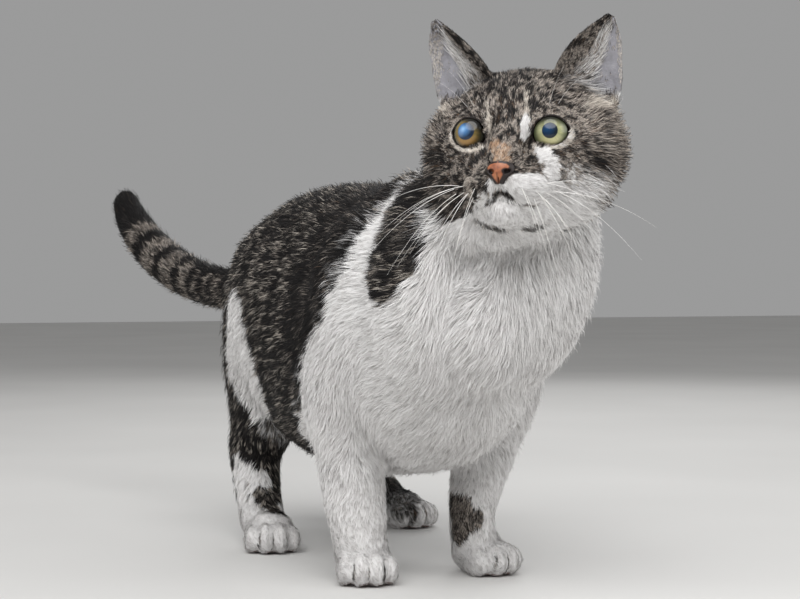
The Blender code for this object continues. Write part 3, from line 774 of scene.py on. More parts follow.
# %% How white, dark, orange and pale a place is


def below_edge(first, second, edge, ragged):
    """1 where second lies below the edge line that first looks up, with a ragged border."""
    limit = np.interp(first, *np.array(edge, float).T)
    return 1 - ramp(second - limit + ragged, -1.5, 1.5)


def wave(points, size, seed, reach):
    """Noise from -reach to reach."""
    return (lattice_noise(points, size, seed) - 0.5) * 2 * reach


def painted_toe_shade(points):
    """1 in the clefts between the toes, where shade is painted into the fur."""
    cleft_shade = np.zeros(len(points))
    for x, y, turn in PAWS:
        paw = Matrix.Translation((x, y, 0)) @ Matrix.Rotation(math.radians(turn), 4, "Z")
        local = placed(points, paw.inverted()) / MM
        front = ramp(-local[:, 1], 9, 12) * (1 - ramp(local[:, 2], 12, 16)) * ramp(local[:, 2], 2, 5)
        for across in CLEFTS:
            cleft_shade = np.maximum(cleft_shade, front * (1 - ramp(abs(local[:, 0] - across), 0.3, 0.8)))
    return cleft_shade * 0.75


def body_marks(points):
    """White, dark, orange and pale of trunk, legs and tail, with shade painted between the toes."""
    mm = points / MM
    x, y, z = mm.T
    ragged = wave(mm, 8, 3, 5) + wave(mm, 2.4, 4, 2.5)
    white = below_edge(z, y, SADDLE_EDGE, ragged)
    white = np.maximum(white, 1 - ramp(z + ragged, 70, 76))
    hind = ramp(y, -95, -85) * ramp(abs(x), 25, 34)
    white += hind * (1 - ramp(z + ragged * 0.6, 25, 29) - white)
    white = np.maximum(white, strings(mm, WHITE_PATCHES, 5, 7, 1.5, 5))
    dark_patch = strings(mm, DARK_PATCHES, 4, 6, 1.5, 6)
    white *= 1 - strings(mm, NAPE_PATCHES, 3.5, 6, 2, 7)
    band = strings(mm, SHOULDER_BAND, 2.5, 5, 2.5, 16)
    white = np.maximum(white, band * (1 - 0.5 * ramp(z, 220, 238)))
    white *= 1 - dark_patch
    foreleg_patch = strings(mm, FORELEG_PATCHES, 2.5, 5, 1.5, 8)
    white *= 1 - foreleg_patch
    white = np.maximum(white, 0.42 * strings(mm, SWEEP, 4, 4, 3, 18))
    white *= 1 - 0.68 * strings(mm, GREY_FOOT, 3, 5, 3, 15)
    # Painted shade in the clefts between the toes: no white there, dark hair and a little orange.
    cleft_shade = painted_toe_shade(points)
    white *= 1 - cleft_shade
    white *= 1 - ramp(y, 64, 74) * ramp(z, 120, 130)
    white = np.maximum(white, 0.7 * strings(mm, RUMP_TUFT, 3, 5, 2, 9))
    bands = np.sin((y + wave(mm, 30, 10, 17)) / 5.2) * 0.5 + 0.5
    spine = (1 - ramp(abs(x) + wave(mm, 12, 11, 5), 6, 22)) * ramp(z, 190, 215)
    dark = 0.68 + 0.37 * bands * lattice_noise(mm, 14, 12) + 0.25 * spine
    dark *= 1 - 0.35 * foreleg_patch
    dark = np.maximum(dark, np.maximum(0.75 * dark_patch, cleft_shade))
    place = along_line(points, TAIL_LINE)[0] + wave(mm, 9, 13, 0.006)
    on_tail = ramp(y, 68, 78) * ramp(z, 140, 150)
    rings = [1 - ramp(abs(place - middle) - half, -0.006, 0.006) for middle, half in TAIL_RINGS]
    rings = np.maximum(np.max(rings, axis=0), ramp(place, TAIL_END - 0.01, TAIL_END + 0.01))
    shares = np.linspace(0, 1, len(TAIL_LINE))
    over_line = z - np.interp(place, shares, TAIL_LINE[:, 2]) / MM
    rings = np.maximum(rings, 0.8 * ramp(over_line + wave(mm, 5, 17, 2), 7, 12))
    on_tail *= ramp(place, 0.27, 0.33)
    dark += on_tail * (0.42 + 0.7 * rings - dark)
    orange = 0.1 * lattice_noise(mm, 20, 14) + 0.3 * cleft_shade
    behind = y - np.interp(z, *np.array(SADDLE_EDGE, float).T)
    frosted = ramp(behind, -6, 0) * (1 - ramp(behind, 6, 24)) * (z > 95)
    frosted *= 0.42 * ramp(lattice_noise(mm * (1, 0.4, 1), 3, 19), 0.3, 0.6)
    white = np.maximum(white, frosted)
    return np.stack((white, dark, orange, on_tail * (1 - rings) * 0.15), 1)


def lid_ring(head):
    """1 in the pale ring that runs from the outer corner of each eye below its lid."""
    ring = np.zeros(len(head))
    for sign in SIDES.values():
        local = head - np.array((EYE_CENTRE[0] * sign, *EYE_CENTRE[1:]))
        x, z = local[:, 0] * sign / OPENING[0], (local[:, 2] + LID_DROP) / OPENING[1]
        width = 0.09 + 0.11 * ramp(x, 0.4, 1.1) * (sign > 0)
        here = 1 - ramp(abs(np.hypot(x / 1.06, z) - 1.14) - width, -0.06, 0.1)
        here *= (1 - ramp(z, 0.2, 0.6)) * ramp(x - z * 0.3, -0.75, -0.4)
        ring = np.maximum(ring, here * (local[:, 1] < 10))
    return ring


def face_marks(head):
    """The same of the face, for points in the head's frame."""
    ring = lid_ring(head)
    head = head - np.array((FACE_MIDDLE, 0, 0))
    x, y, z = head.T
    white = strings(head, FACE_WHITE, 1.6, 2.5, 1.6, 21)
    cheek = below_edge(x, z, CHEEK_EDGE, wave(head, 5, 22, 2.5) + wave(head, 1.6, 23, 1.2))
    white = np.maximum(white, cheek * (1 - ramp(y, 10, 20)))
    low = 0.42 * (1 - ramp(z, -14, -5)) + 0.2 * (1 - ramp(z, -22, -14))
    white = np.maximum(white, low * ramp(x, 24, 34) * (1 - ramp(y, -5, 8)))
    stripes = np.sin(z / 1.5 + x * 0.12 + wave(head, 9, 24, 2.5)) * 0.5 + 0.5
    to_side = ramp(abs(x), 20, 30)
    streaks = (1 - to_side) * lattice_noise(head * (1, 1, 0.35), 1.9, 25)
    streaks += to_side * lattice_noise(head * (0.4, 0.4, 1), 1.9, 25)
    streaks = ramp(streaks, 0.3, 0.72)
    dark = 0.1 + 0.22 * stripes * to_side + 0.74 * streaks * (1 - 0.4 * to_side)
    dark += 0.2 * ramp(-x, 20, 32) * (1 - ramp(z, -6, 6)) - 0.16 * ramp(x, 30, 42)
    dark = np.maximum(dark, ramp(z, 30, 44) * (0.4 + 0.55 * streaks))
    lines = strings(head, FACE_DARK, 1.0, 2.5, 1.4, 27)
    broken = ramp(lattice_noise(head * (1, 1, 0.5), 3.2, 35), 0.3, 0.55)
    lines *= 1 - ramp(z, 18, 26) * broken
    lines *= 1 - 0.22 * ramp(-z, 28, 30)
    lines = np.maximum(lines, 0.66 * strings(head, CHIN_DARK, 1.8, 2.5, 2.8, 36))
    white *= 1 - lines
    pale = strings(head, FACE_PALE, 1.2, 2.5, 2.0, 28) * (1 - lines)
    pale = np.maximum(pale * 0.62, ring)
    white = np.maximum(white, 0.35 * ring)
    mottled = 0.6 + 0.6 * lattice_noise(head, 2.2, 30)
    bridge = strings(head, FACE_ORANGE, 2.0, 4, 3.2, 29)
    orange = np.maximum(0.14, 0.8 * mottled * bridge)
    dark *= 1 - 0.5 * bridge
    pale = np.maximum(pale, 0.3 * bridge)
    orange *= 1 - 0.5 * ramp(z, 20, 45)
    return np.stack((white, np.maximum(dark, lines), orange, pale), 1)


def markings(points):
    """Rows of white, dark, orange and pale, each from 0 to 1."""
    head = to_head(points)
    share = 1 - ramp(np.linalg.norm(head * (1, 0.9, 1), axis=1), 60, 68)
    share = np.maximum(share, ramp(head[:, 2], 36, 40)) * ramp(head[:, 2] - head[:, 1], -66, -52)
    found = np.zeros((len(points), 4))
    on_body = share < 1
    found[on_body] = body_marks(points[on_body]) * (1 - share[on_body, None])
    on_head = share > 0
    found[on_head] += face_marks(head[on_head]) * share[on_head, None]
    return np.clip(found, 0, 1)


marks = markings(points)
print("share of white, dark, orange and pale:", np.round(marks.mean(0), 2).tolist())

# %% [markdown]
# The lids are cut into the skin by a prism with the almond outline of the eye, down to a
# round socket. The lips part along a thin curved wedge.

# %% Open the lids and part the lips
# Place across, height and depth of the line between the lips, then half its gap in mm.
LIPS = ((0, -32.6, -46), (5, -34.6, -45), (10, -35.6, -42), (15, -34.6, -38), (19.5, -32.0, -34))
LIP_GAP = 0.35
LIP_END = 0.12
SOCKET_GAP = 0.3


def corner_reach(angles):
    """How far the corners of the lids reach beyond a plain oval, at angles in degrees."""
    reach = 0
    for direction, length in (INNER_CORNER, OUTER_CORNER):
        off = np.radians((angles - direction + 180) % 360 - 180)
        reach += length * np.exp(-((off / CORNER_SPREAD) ** 2))
    return reach


def almond(sign, count=72):
    """Outline of the opening between the lids in the eye's frame, as x and z."""
    angles = np.arange(count) * 360 / count
    reach = corner_reach(angles)
    x = np.cos(np.radians(angles)) * (OPENING[0] + reach) * sign
    z = np.sin(np.radians(angles)) * (OPENING[1] + reach) - LID_DROP
    return np.stack((x, z), 1).tolist()


def skinned(name, rings, matrix):
    """A closed body through rings of points, its ends filled."""
    bm = bmesh.new()
    loops = [[bm.verts.new(point) for point in ring] for ring in rings]
    for lower, upper in zip(loops, loops[1:]):
        for k, vertex in enumerate(lower):
            n = (k + 1) % len(lower)
            bm.faces.new((vertex, lower[n], upper[n], upper[k]))
    bm.faces.new(loops[0])
    bm.faces.new(loops[-1])
    bmesh.ops.recalc_face_normals(bm, faces=bm.faces)
    mesh = bpy.data.meshes.new(name)
    bm.to_mesh(mesh)
    bm.free()
    mesh.transform(matrix)
    return new_object(name, mesh)


def lip_wedge():
    """Rings of the wedge between the lips, from one corner of the mouth to the other."""
    table = np.array(LIPS, float).T
    rings = []
    for x in np.linspace(-table[0, -1], table[0, -1], 41):
        z = np.interp(abs(x), table[0], table[1])
        back = np.interp(abs(x), table[0], table[2])
        front = [(x, -75, z - LIP_GAP), (x, -75, z + LIP_GAP)]
        rings.append([*front, (x, back, z + LIP_END), (x, back, z - LIP_END)])
    return rings


solid_points = points_of(skin.data)
solid_triangles = triangles_of(skin.data)
solid_normals = normals_of(skin.data)
surface = BVHTree.FromPolygons([Vector(p) for p in solid_points], solid_triangles.tolist())
for side, sign in SIDES.items():
    outline = almond(sign)
    rings = [[(x, y, z) for x, z in outline] for y in (-30, -LID_DEPTH)]
    fuse(skin, skinned("opening", rings, eye_matrix(sign)), "DIFFERENCE")
    bpy.ops.object.select_all(action="DESELECT")
    bpy.ops.mesh.primitive_uv_sphere_add(segments=48, ring_count=32, radius=EYE_RADIUS + SOCKET_GAP)
    room = bpy.context.object
    room.data.transform(eye_matrix(sign))
    fuse(skin, room, "DIFFERENCE")
fuse(skin, skinned("lips", lip_wedge(), head_matrix), "DIFFERENCE")
print("skin with lids and lips:", len(skin.data.polygons), "faces")

# %% [markdown]
# The skin shows in few places: the bare inside of the ears, the dark rims of lids and lips
# and the pads of the toes. Between the tufts it only shows as ground colour. It carries the
# same markings as the coat, and a fine bump along the body stands for the shortest hair.

# %% Values painted on the skin


def lip_height(x):
    table = np.array(LIPS, float).T
    return np.interp(abs(x), table[0], table[1])


def lid_span(points):
    """Distance from the middle of the nearer eye, 1 at the edge of its lids."""
    span = np.full(len(points), 9.0)
    for sign in SIDES.values():
        local = placed(points, eye_matrix(sign).inverted())
        x, z = local[:, 0] * sign / OPENING[0], (local[:, 2] + LID_DROP) / OPENING[1]
        reach = corner_reach(np.degrees(np.arctan2(z, x)))
        here = np.hypot(x / (1 + reach / OPENING[0]), z / (1 + reach / OPENING[1]))
        span = np.where((local[:, 1] < 2) & (here < span), here, span)
    return span


def bare_skin(points, normals):
    """Rows of bare ear, dark lid or lip, and pad of a toe."""
    local = to_head(points)
    lids = 1 - ramp(lid_span(points), 1.01, 1.06)
    near_lips = 1 - ramp(abs(local[:, 2] - lip_height(local[:, 0])), 0.6, 1.6)
    near_lips *= (1 - ramp(abs(local[:, 0]), 9, 14)) * (1 - ramp(local[:, 1], -34, -28))
    pads = 1 - ramp(points[:, 2], 1.5 * MM, 3.5 * MM)
    hollow = inner_ear(points, normals) * ramp(ear_across(local), 0.25, 0.4)
    return np.stack((hollow, np.maximum(lids, near_lips), pads), 1)


points = points_of(skin.data)
normals = normals_of(skin.data)
found = markings(points)
set_attribute(skin.data, "marks", "FLOAT_COLOR", found)
bare = bare_skin(points, normals)
set_attribute(skin.data, "bare", "FLOAT_COLOR", np.column_stack((bare, np.ones(len(bare)))))
print("points with bare skin:", int((bare.max(1) > 0.5).sum()))

# %% [markdown]
# A hair of a tabby is grey at its root, pale brown further up and black at its tip. That
# banding gives the salt and pepper look. The same group of nodes colours skin and coat:
# it asks how far along the hair it is, and how white, dark, orange or pale the place is.

# %% Colours of hair
# White, pale and orange hairs are darker at the root: painted shade deep in the coat.
HAIR_CODES = {
    "tabby": (
        (0.0, "605c5a"), (0.22, "aaa198"), (0.42, "c4b9ad"), (0.6, "665d57"), (0.8, "2a2727"),
        (1.0, "171515"),
    ),
    "dark": ((0.0, "2f2c2b"), (0.3, "1b1919"), (1.0, "0d0b0c")),
    "orange": ((0.0, "7d6350"), (0.4, "c9a688"), (0.8, "ab896c"), (1.0, "4f3f35")),
    "pale": ((0.0, "948b82"), (0.3, "d2c8bb"), (0.8, "ddd5ca"), (1.0, "998f83")),
    "white": ((0.0, "d2cfcd"), (0.3, "f2f0ef"), (1.0, "f7f6f5")),
}
# How far a hair's own tint moves its bands, and how dark and light it makes them.
BAND_SHIFT = (1.1, -0.6)
BAND_SHADE = (0.84, 1.04)


def hair_colour(tree, along, tint):
    """Nodes for the colour of a hair at a share along it, shifted by the hair's own tint."""
    place = add_node(tree, "ShaderNodeAttribute", {"attribute_name": "marks"})
    parts = add_node(tree, "ShaderNodeSeparateColor", Color=place.outputs["Color"]).outputs
    shifted = maths(tree, "ADD", along, maths(tree, "MULTIPLY_ADD", tint, *BAND_SHIFT))
    colour = ramp_of(tree, shifted, HAIR_CODES["tabby"])
    shares = {
        "dark": parts["Green"],
        "orange": parts["Blue"],
        "pale": place.outputs["Alpha"],
        "white": parts["Red"],
    }
    for name, share in shares.items():
        colour = mix(tree, share, colour, ramp_of(tree, shifted, HAIR_CODES[name]))
    low, high = BAND_SHADE
    shade = add_node(tree, "ShaderNodeMapRange", Value=tint, To_Min=low, To_Max=high)
    return mix(tree, 1.0, colour, shade.outputs[0], "MULTIPLY")


def skin_material():
    made, tree, shader = new_material("short_hair_over_skin", 0.75)
    place = add_node(tree, "ShaderNodeTexCoord").outputs["Object"]
    grain = add_node(tree, "ShaderNodeTexNoise", Vector=place, Scale=900.0, Detail=4.0)
    colour = hair_colour(tree, grain.outputs["Fac"], grain.outputs["Fac"])
    bare_place = add_node(tree, "ShaderNodeAttribute", {"attribute_name": "bare"})
    parts = add_node(tree, "ShaderNodeSeparateColor", Color=bare_place.outputs["Color"]).outputs
    vein = add_node(tree, "ShaderNodeTexNoise", Vector=place, Scale=160.0, Detail=5.0)
    bare_ear = ramp_of(tree, vein.outputs["Fac"], ((0.3, "78777c"), (0.7, "9b9aa0")))
    colour = mix(tree, parts["Red"], colour, bare_ear)
    colour = mix(tree, parts["Green"], colour, linear("2a1f1c"))
    colour = mix(tree, parts["Blue"], colour, linear("8a6a62"))
    tree.links.new(colour, shader.inputs["Base Color"])
    height = grain.outputs["Fac"]
    bump = add_node(tree, "ShaderNodeBump", Height=height, Strength=0.6, Distance=0.4 * MM)
    tree.links.new(bump.outputs[0], shader.inputs["Normal"])
    return made


skin.data.materials.clear()
skin.data.materials.append(skin_material())
only(skin)
bpy.ops.object.shade_smooth_by_angle(angle=math.radians(60))
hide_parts(*COATED)
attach(skin, "root")
print("skin painted")

# %% [markdown]
# Fur is thousands of flat, tapering blades of five points and three faces. Each stands for
# a lock of a few hairs, bends over along the body and ends in a point. The blades of a
# place lean towards a few guides among them, which gives the little clumps that real hair
# forms. The size of a mesh is kept in hand by sowing each part of the body as one piece.

# %% Parts of the coat
# Blades on each square millimetre, width of a blade in mm, the shape that the part's own
# map is unrolled from, and how many blades share a clump.
COAT = {
    "face": (4.5, 0.27, "round", 12),
    "crown": (2.35, 0.34, "round", 12),
    "ear_right": (2.5, 0.26, "long", 8),
    "ear_left": (2.5, 0.26, "long", 8),
    "neck": (1.55, 0.36, "round", 7),
    "chest_right": (1.8, 0.33, "round", 7),
    "chest_left": (1.6, 0.34, "round", 7),
    "flank_right": (1.6, 0.36, "round", 6),
    "flank_left": (0.9, 0.48, "round", 6),
    "rump": (1.25, 0.4, "round", 6),
    "thigh_right": (1.6, 0.4, "long", 8),
    "thigh_left": (1.0, 0.48, "long", 7),
    "foreleg_right": (1.9, 0.34, "long", 8),
    "foreleg_left": (1.9, 0.34, "long", 8),
    "hindleg_right": (2.0, 0.34, "long", 8),
    "hindleg_left": (1.4, 0.38, "long", 7),
    "forepaw_right": (2.7, 0.28, "round", 6),
    "forepaw_left": (2.7, 0.28, "round", 6),
    "hindpaw_right": (2.2, 0.3, "round", 6),
    "hindpaw_left": (1.7, 0.32, "round", 6),
    "tail": (1.55, 0.4, "long", 8),
}
MIDDLE_X = -0.006
MOST_BLADES = 64000
FACE_DEPTH = -12.0
PART_OF = {"head": "crown", "jaw": "crown", "belly": "flank", "upper_foreleg": "foreleg",
           "lower_foreleg": "foreleg", "lower_hindleg": "hindleg", "tail_base": "tail",
           "tail_middle": "tail", "tail_tip": "tail"}


def part_names(places, owner):
    """The part of the coat that each place belongs to, from the node that owns it."""
    owner_names = np.array(COATED)[owner]
    front = to_head(places)[:, 1] < FACE_DEPTH
    found = []
    for name, is_face, x in zip(owner_names, front, places[:, 0]):
        part = PART_OF.get(kind_of(name), kind_of(name))
        if part == "crown" and is_face:
            part = "face"
        if part in ("flank", "chest"):
            part += "_right" if x < MIDDLE_X else "_left"
        if part in ("foreleg", "hindleg", "thigh", "forepaw", "hindpaw", "ear"):
            part += "_right" if name.endswith("right") else "_left"
        found.append(part)
    return np.array(found)


corners = solid_points[solid_triangles]
centres = corners.mean(1)
sides = corners[:, 1:] - corners[:, :1]
areas = np.linalg.norm(np.cross(sides[:, 0], sides[:, 1]), axis=1) / 2
parts = part_names(centres, labels[solid_triangles[:, 0]])
for part in COAT:
    print(part, round(areas[parts == part].sum() / MM**2), "square mm")

# %% [markdown]
# No hair grows on the eyes, between the lips, on the nose leather or under the feet, and
# little inside the ears.

# %% Bare places
nose_mesh = frame["nodes"]["nose"].data
nose_faces = [face.vertices for face in nose_mesh.polygons]
nose_surface = BVHTree.FromPolygons([point.co for point in nose_mesh.vertices], nose_faces)


def growth(points, normals):
    """Chance from 0 to 1 that hair grows at each point."""
    local = to_head(points)
    chance = (lid_span(points) > 1.03).astype(float)
    lips = abs(local[:, 2] - lip_height(local[:, 0])) < 0.7
    chance[lips & (abs(local[:, 0]) < 19) & (local[:, 1] < -34)] = 0
    near = np.linalg.norm(local - (0, -54, -18.5), axis=1) < 16
    spots = local[near]
    spots[:, 0] /= nose_across(spots[:, 2])
    for k, spot in zip(np.flatnonzero(near), placed(spots, head_matrix)):
        if nose_surface.find_nearest(spot)[3] < 0.3 * MM:
            chance[k] = 0
    chance *= ramp(points[:, 2], 0.6 * MM, 2.5 * MM)
    hollow = ramp(ear_across(local), 0.35, 0.5) * (1 - ramp(ear_across(local), 1.02, 1.1))
    return chance * (1 - 0.92 * hollow * inner_ear(points, normals))


grows = growth(solid_points, solid_normals)
print("share of the skin that grows hair:", round(grows.mean(), 3))

# %% [markdown]
# A blade starts at a root on the skin, follows the lie of the hair along the surface and
# lifts towards its tip. One random generator with a fixed seed draws all that differs from
# blade to blade, so that the coat comes out the same each time.

# %% Blades from roots
rng = np.random.default_rng(7)
follow = tree_of(solid_points)


def sow(part, count):
    """Roots spread evenly over a part: triangle and the shares of its three corners."""
    faces = np.flatnonzero(parts == part)
    weight = areas[faces] * grows[solid_triangles[faces]].mean(1)
    steps = np.cumsum(weight)
    picks = np.searchsorted(steps, (np.arange(count) + rng.random(count)) / count * steps[-1])
    picks = faces[np.minimum(picks, len(faces) - 1)]
    a, b = rng.random((2, count))
    flip = a + b > 1
    a[flip], b[flip] = 1 - a[flip], 1 - b[flip]
    return picks, np.stack((1 - a - b, a, b), 1)


def at_roots(field, picks, shares):
    return np.einsum("ijk,ij->ik", field[solid_triangles[picks]], shares)


def laid(places, height):
    """Places moved to a height over the nearest bit of skin."""
    near = nearest(follow, places)
    n = solid_normals[near]
    above = np.einsum("ij,ij->i", places - solid_points[near], n)
    return places + n * (height - above)[:, None]


def turned_about(vectors, axes, angles):
    cos, sin = np.cos(angles)[:, None], np.sin(angles)[:, None]
    return vectors * cos + np.cross(axes, vectors) * sin


def unrolled(points, shape):
    """Places on an unwrap of the part's own shape, from 0 to 1 each way."""
    centre = (points.min(0) + points.max(0)) / 2
    local = points - centre
    axis = np.argmax(np.ptp(points, axis=0)) if shape == "long" else 1
    first, second = [k for k in range(3) if k != axis]
    around = np.arctan2(local[:, first], local[:, second]) / (2 * math.pi) + 0.5
    if shape == "long":
        up = local[:, axis] / np.ptp(points[:, axis]) + 0.5
    else:
        up = np.arctan2(np.hypot(local[:, first], local[:, second]), local[:, axis]) / math.pi
    return np.stack((around, up), 1) * 0.99 + 0.005


def guide_of(root, clump):
    """The blade that each blade leans towards: one in so many is a guide."""
    guides = np.arange(0, len(root), clump)
    return guides[nearest(tree_of(root[guides]), root)]


# %% [markdown]
# The colour of a blade is looked up near its tip, where it shows. At a soft edge each hair
# takes one colour or the other. The ears differ: white locks cross the hollow, the far rim
# is pale, and their backs are brown towards the tips.

# %% Colours and shapes of the blades
# Share of blades that stand out of the coat, and share of clumps with pale ends.
STRAY = 0.07
TICKED = 0.12
# Parts where the clumps are loose, and parts with pale hairs among the dark.
SOFT = ("face", "neck", "chest_right", "chest_left", "foreleg_right", "foreleg_left")
SALTED = ("neck", "flank_right", "flank_left", "rump", "thigh_right", "thigh_left", "hindleg_right")
# Where along a blade its colour is looked up, and the size of its patch on the map.
LOOKED_UP = 0.85
PATCH = 0.003
BLADE_FACES = np.array(((0, 1, 3), (0, 3, 2), (2, 3, 4)))
BLADE_ALONG = np.array((0, 0, 0.5, 0.5, 1.0))
BLADE_PATCH = np.array(((-0.5, 0), (0.5, 0), (-0.5, 0.5), (0.5, 0.5), (0, 1.0))) * PATCH


def dithered(marks, chance):
    """Marks of single hairs: at a soft edge some hairs take the one colour, some the other."""
    return ramp(marks + (chance[:, None] - 0.5) * 0.7, 0.3, 0.7)


def ear_marks(marks, head, over, inside, fringe, to_tip):
    """The marks, changed on the ears."""
    rim = inside * ramp(over, 0.97, 1.06) * (1 - to_tip)
    marks[:, 0] = np.maximum(marks[:, 0] * (1 - inside), np.maximum(fringe * 0.8, rim * 0.2))
    marks[:, 3] = np.maximum(marks[:, 3], rim * 0.4)
    on_ear = ramp(head[:, 2], 40, 48) * (np.linalg.norm(head, axis=1) < 110)
    pale_side = over > -0.5 + 0.4 * (head[:, 0] < 0)
    marks[:, 1] *= 1 - 0.85 * pale_side * on_ear * (1 - 0.45 * to_tip)
    marks[:, 1] = np.maximum(marks[:, 1], 0.5 * inside * ramp(over, 0.55, 0.8) * to_tip)
    return marks


def blades(part, count, width, shape, clump):
    """Points, normals, colours and map of the blades of one part."""
    picks, shares = sow(part, count)
    root = at_roots(solid_points, picks, shares)
    normal = unit(at_roots(solid_normals, picks, shares))
    grown = at_roots(values, picks, shares)
    inside = inner_ear(root, normal)
    flow = grown[:, :3] - normal * np.einsum("ij,ij->i", grown[:, :3], normal)[:, None]
    angle = wave(root / MM, 22, 31, 0.30) + wave(root / MM, 6, 32, 0.30) + rng.normal(0, 0.13, count)
    flow = turned_about(unit(flow), normal, angle)
    head = to_head(root)
    over = ear_across(head)
    to_tip = ramp(head[:, 2], 64, 76)
    fringe = inside * (ramp(over, -0.05, 0.12) - ramp(over, 0.4, 0.65))
    fringe *= rng.random(count) < 0.55 - 0.45 * to_tip
    length = grown[:, 3] * rng.uniform(0.7, 1.15, count) * (1 + 4.0 * fringe)
    lift = grown[:, 4] * rng.uniform(0.55, 1.15, count) * (0.8 + 0.4 * lattice_noise(root / MM, 9, 33))
    cheek = ramp(abs(head[:, 0]), 32, 44) * (np.linalg.norm(head, axis=1) < 80) * (head[:, 2] < 34)
    stray = rng.random(count) < STRAY * (1 + cheek)
    extra = grown[:, 4] * rng.uniform(0.2, 0.9, count)
    lift += stray * (extra + cheek * rng.uniform(0, 3.5, count) * MM)
    length *= 1 + 0.35 * stray * cheek
    middle = laid(root + flow * (length * 0.5)[:, None], lift * 0.8)
    tip = laid(root + flow * length[:, None], lift)
    mine = guide_of(root, clump)
    least, most = (0.1, 0.45) if part in SOFT else (0.35, 0.8)
    pull = (rng.uniform(least, most, count) * ~stray)[:, None]
    tip += (tip[mine] - tip) * pull
    middle += (middle[mine] - middle) * pull * 0.35
    across = unit(np.cross(tip - root, normal))
    across = turned_about(across, unit(tip - root), rng.normal(0, 0.4, count))
    half = across * (width * MM * rng.uniform(0.35, 0.65, count))[:, None]
    points = np.stack((root - half, root + half, middle - half * 0.85, middle + half * 0.85, tip), 1)
    uneven = 0.6 if part in SOFT else 1.0
    shade = unit(
        normal
        + rng.normal(0, 0.22, (count, 3)) * uneven
        + across * rng.uniform(-0.3, 0.3, count)[:, None] * uneven
    )
    chance = rng.random(count)[mine] * 0.55 + rng.random(count) * 0.45
    marks = dithered(markings(root + (tip - root) * LOOKED_UP), chance)
    marks = ear_marks(marks, head, over, inside, fringe, to_tip)
    if part in SALTED:
        ticked = (rng.random(count)[mine] < TICKED) * rng.uniform(0.3, 0.75, count)
        marks[:, 3] = np.maximum(marks[:, 3], ticked * (marks[:, 0] < 0.5))
    tint = rng.random(count) * 0.35 + rng.random(count)[mine] * 0.65
    uv = unrolled(root, shape)[:, None] + BLADE_PATCH
    return points, shade, marks, tint, uv


# %% [markdown]
# Each part of the coat becomes one mesh. Its normals are given: a blade takes the
# light as the body below it does, with a little of its own, so that the coat looks soft.

# %% The pieces of the coat


def coat_piece(part, count, *settings):
    """One mesh with all blades of a part."""
    points, shade, marks, tint, uv = blades(part, count, *settings)
    faces = (np.arange(count)[:, None, None] * 5 + BLADE_FACES).reshape(-1, 3).astype(np.int32)
    mesh = bpy.data.meshes.new("coat_" + part)
    mesh.vertices.add(count * 5)
    mesh.loops.add(len(faces) * 3)
    mesh.polygons.add(len(faces))
    mesh.vertices.foreach_set("co", points.astype(np.float32).ravel())
    mesh.loops.foreach_set("vertex_index", faces.ravel())
    mesh.polygons.foreach_set("loop_start", np.arange(len(faces), dtype=np.int32) * 3)
    mesh.update(calc_edges=True)
    mesh.polygons.foreach_set("use_smooth", np.ones(len(faces), bool))
    set_attribute(mesh, "marks", "FLOAT_COLOR", np.repeat(marks, 5, axis=0))
    set_attribute(mesh, "along", "FLOAT", np.tile(BLADE_ALONG, count))
    set_attribute(mesh, "tint", "FLOAT", np.repeat(tint, 5))
    layer = mesh.uv_layers.new(name="OFBake")
    layer.data.foreach_set("uv", uv.reshape(-1, 2)[faces.ravel()].astype(np.float32).ravel())
    mesh.normals_split_custom_set_from_vertices(np.repeat(shade, 5, axis=0).tolist())
    return new_object("coat_" + part, mesh)


def coat_material():
    made, tree, shader = new_material("cat_hair", 0.6, Specular_IOR_Level=0.18)
    along = add_node(tree, "ShaderNodeAttribute", {"attribute_name": "along"}).outputs["Fac"]
    tint = add_node(tree, "ShaderNodeAttribute", {"attribute_name": "tint"}).outputs["Fac"]
    tree.links.new(hair_colour(tree, along, tint), shader.inputs["Base Color"])
    return made


hair = coat_material()
total = 0
for part, (density, *settings) in COAT.items():
    area = (areas * grows[solid_triangles].mean(1))[parts == part].sum() / MM**2
    count = min(int(area * density), MOST_BLADES)
    piece = coat_piece(part, count, *settings)
    piece.data.materials.append(hair)
    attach(piece, "root")
    total += count
    print("coat of", part, ":", count, "blades")
print("blades in all:", total)

# %% [markdown]
# An eye is a ball with the clear dome of its cornea, and all that shows is painted on a map
# in millimetres: a round dark pupil, blue in the left eye with a painted reflection, the
# iris with fine rays from pupil to rim, and a dark ring round it. The right eye is clouded:
# its pupil is hazy blue and its iris amber.
# The shade of the upper lid is painted over the top of both.

# %% Eyeballs
# Width of the map in mm. Colours of the iris from its darkest ray to its palest, then of
# its rim and its lower part. How far the pupil is up, and how the painted shade of the lid
# leans. Last the colours of the pupil, whose blue in the left eye is a painted reflection.
EYE_MAP = 24.0
IRIS = {
    "left": {
        "rays": ((0.25, "656a4c"), (0.5, "969a70"), (0.8, "c2be90")),
        "rim": "5a6046",
        "low": "f2eab2",
        "up": -0.9,
        "lean": -0.1,
        # The blue at the middle of this pupil is a painted reflection.
        "pupil": ((0.0, "053a64"), (1.0, "041522")),
    },
    "right": {
        "rays": ((0.25, "443a20"), (0.5, "6f6234"), (0.8, "94743a")),
        "rim": "34352a",
        "low": "b98a4d",
        "up": -0.2,
        "lean": 0.7,
        "pupil": ((0.0, "86b2dc"), (0.45, "4a76a6"), (1.0, "12263e")),
    },
}
PUPIL_RADIUS = {"left": 4.35, "right": 4.9}
# Middle and reach of the blue in each pupil, in mm: the haze of the clouded right eye, and a painted
# reflection in the left one.
HAZE_AND_REFLECTION = (-1.3, 1.2, 0)
HAZE_AND_REFLECTION_REACH = 5.0
DOME = 0.7


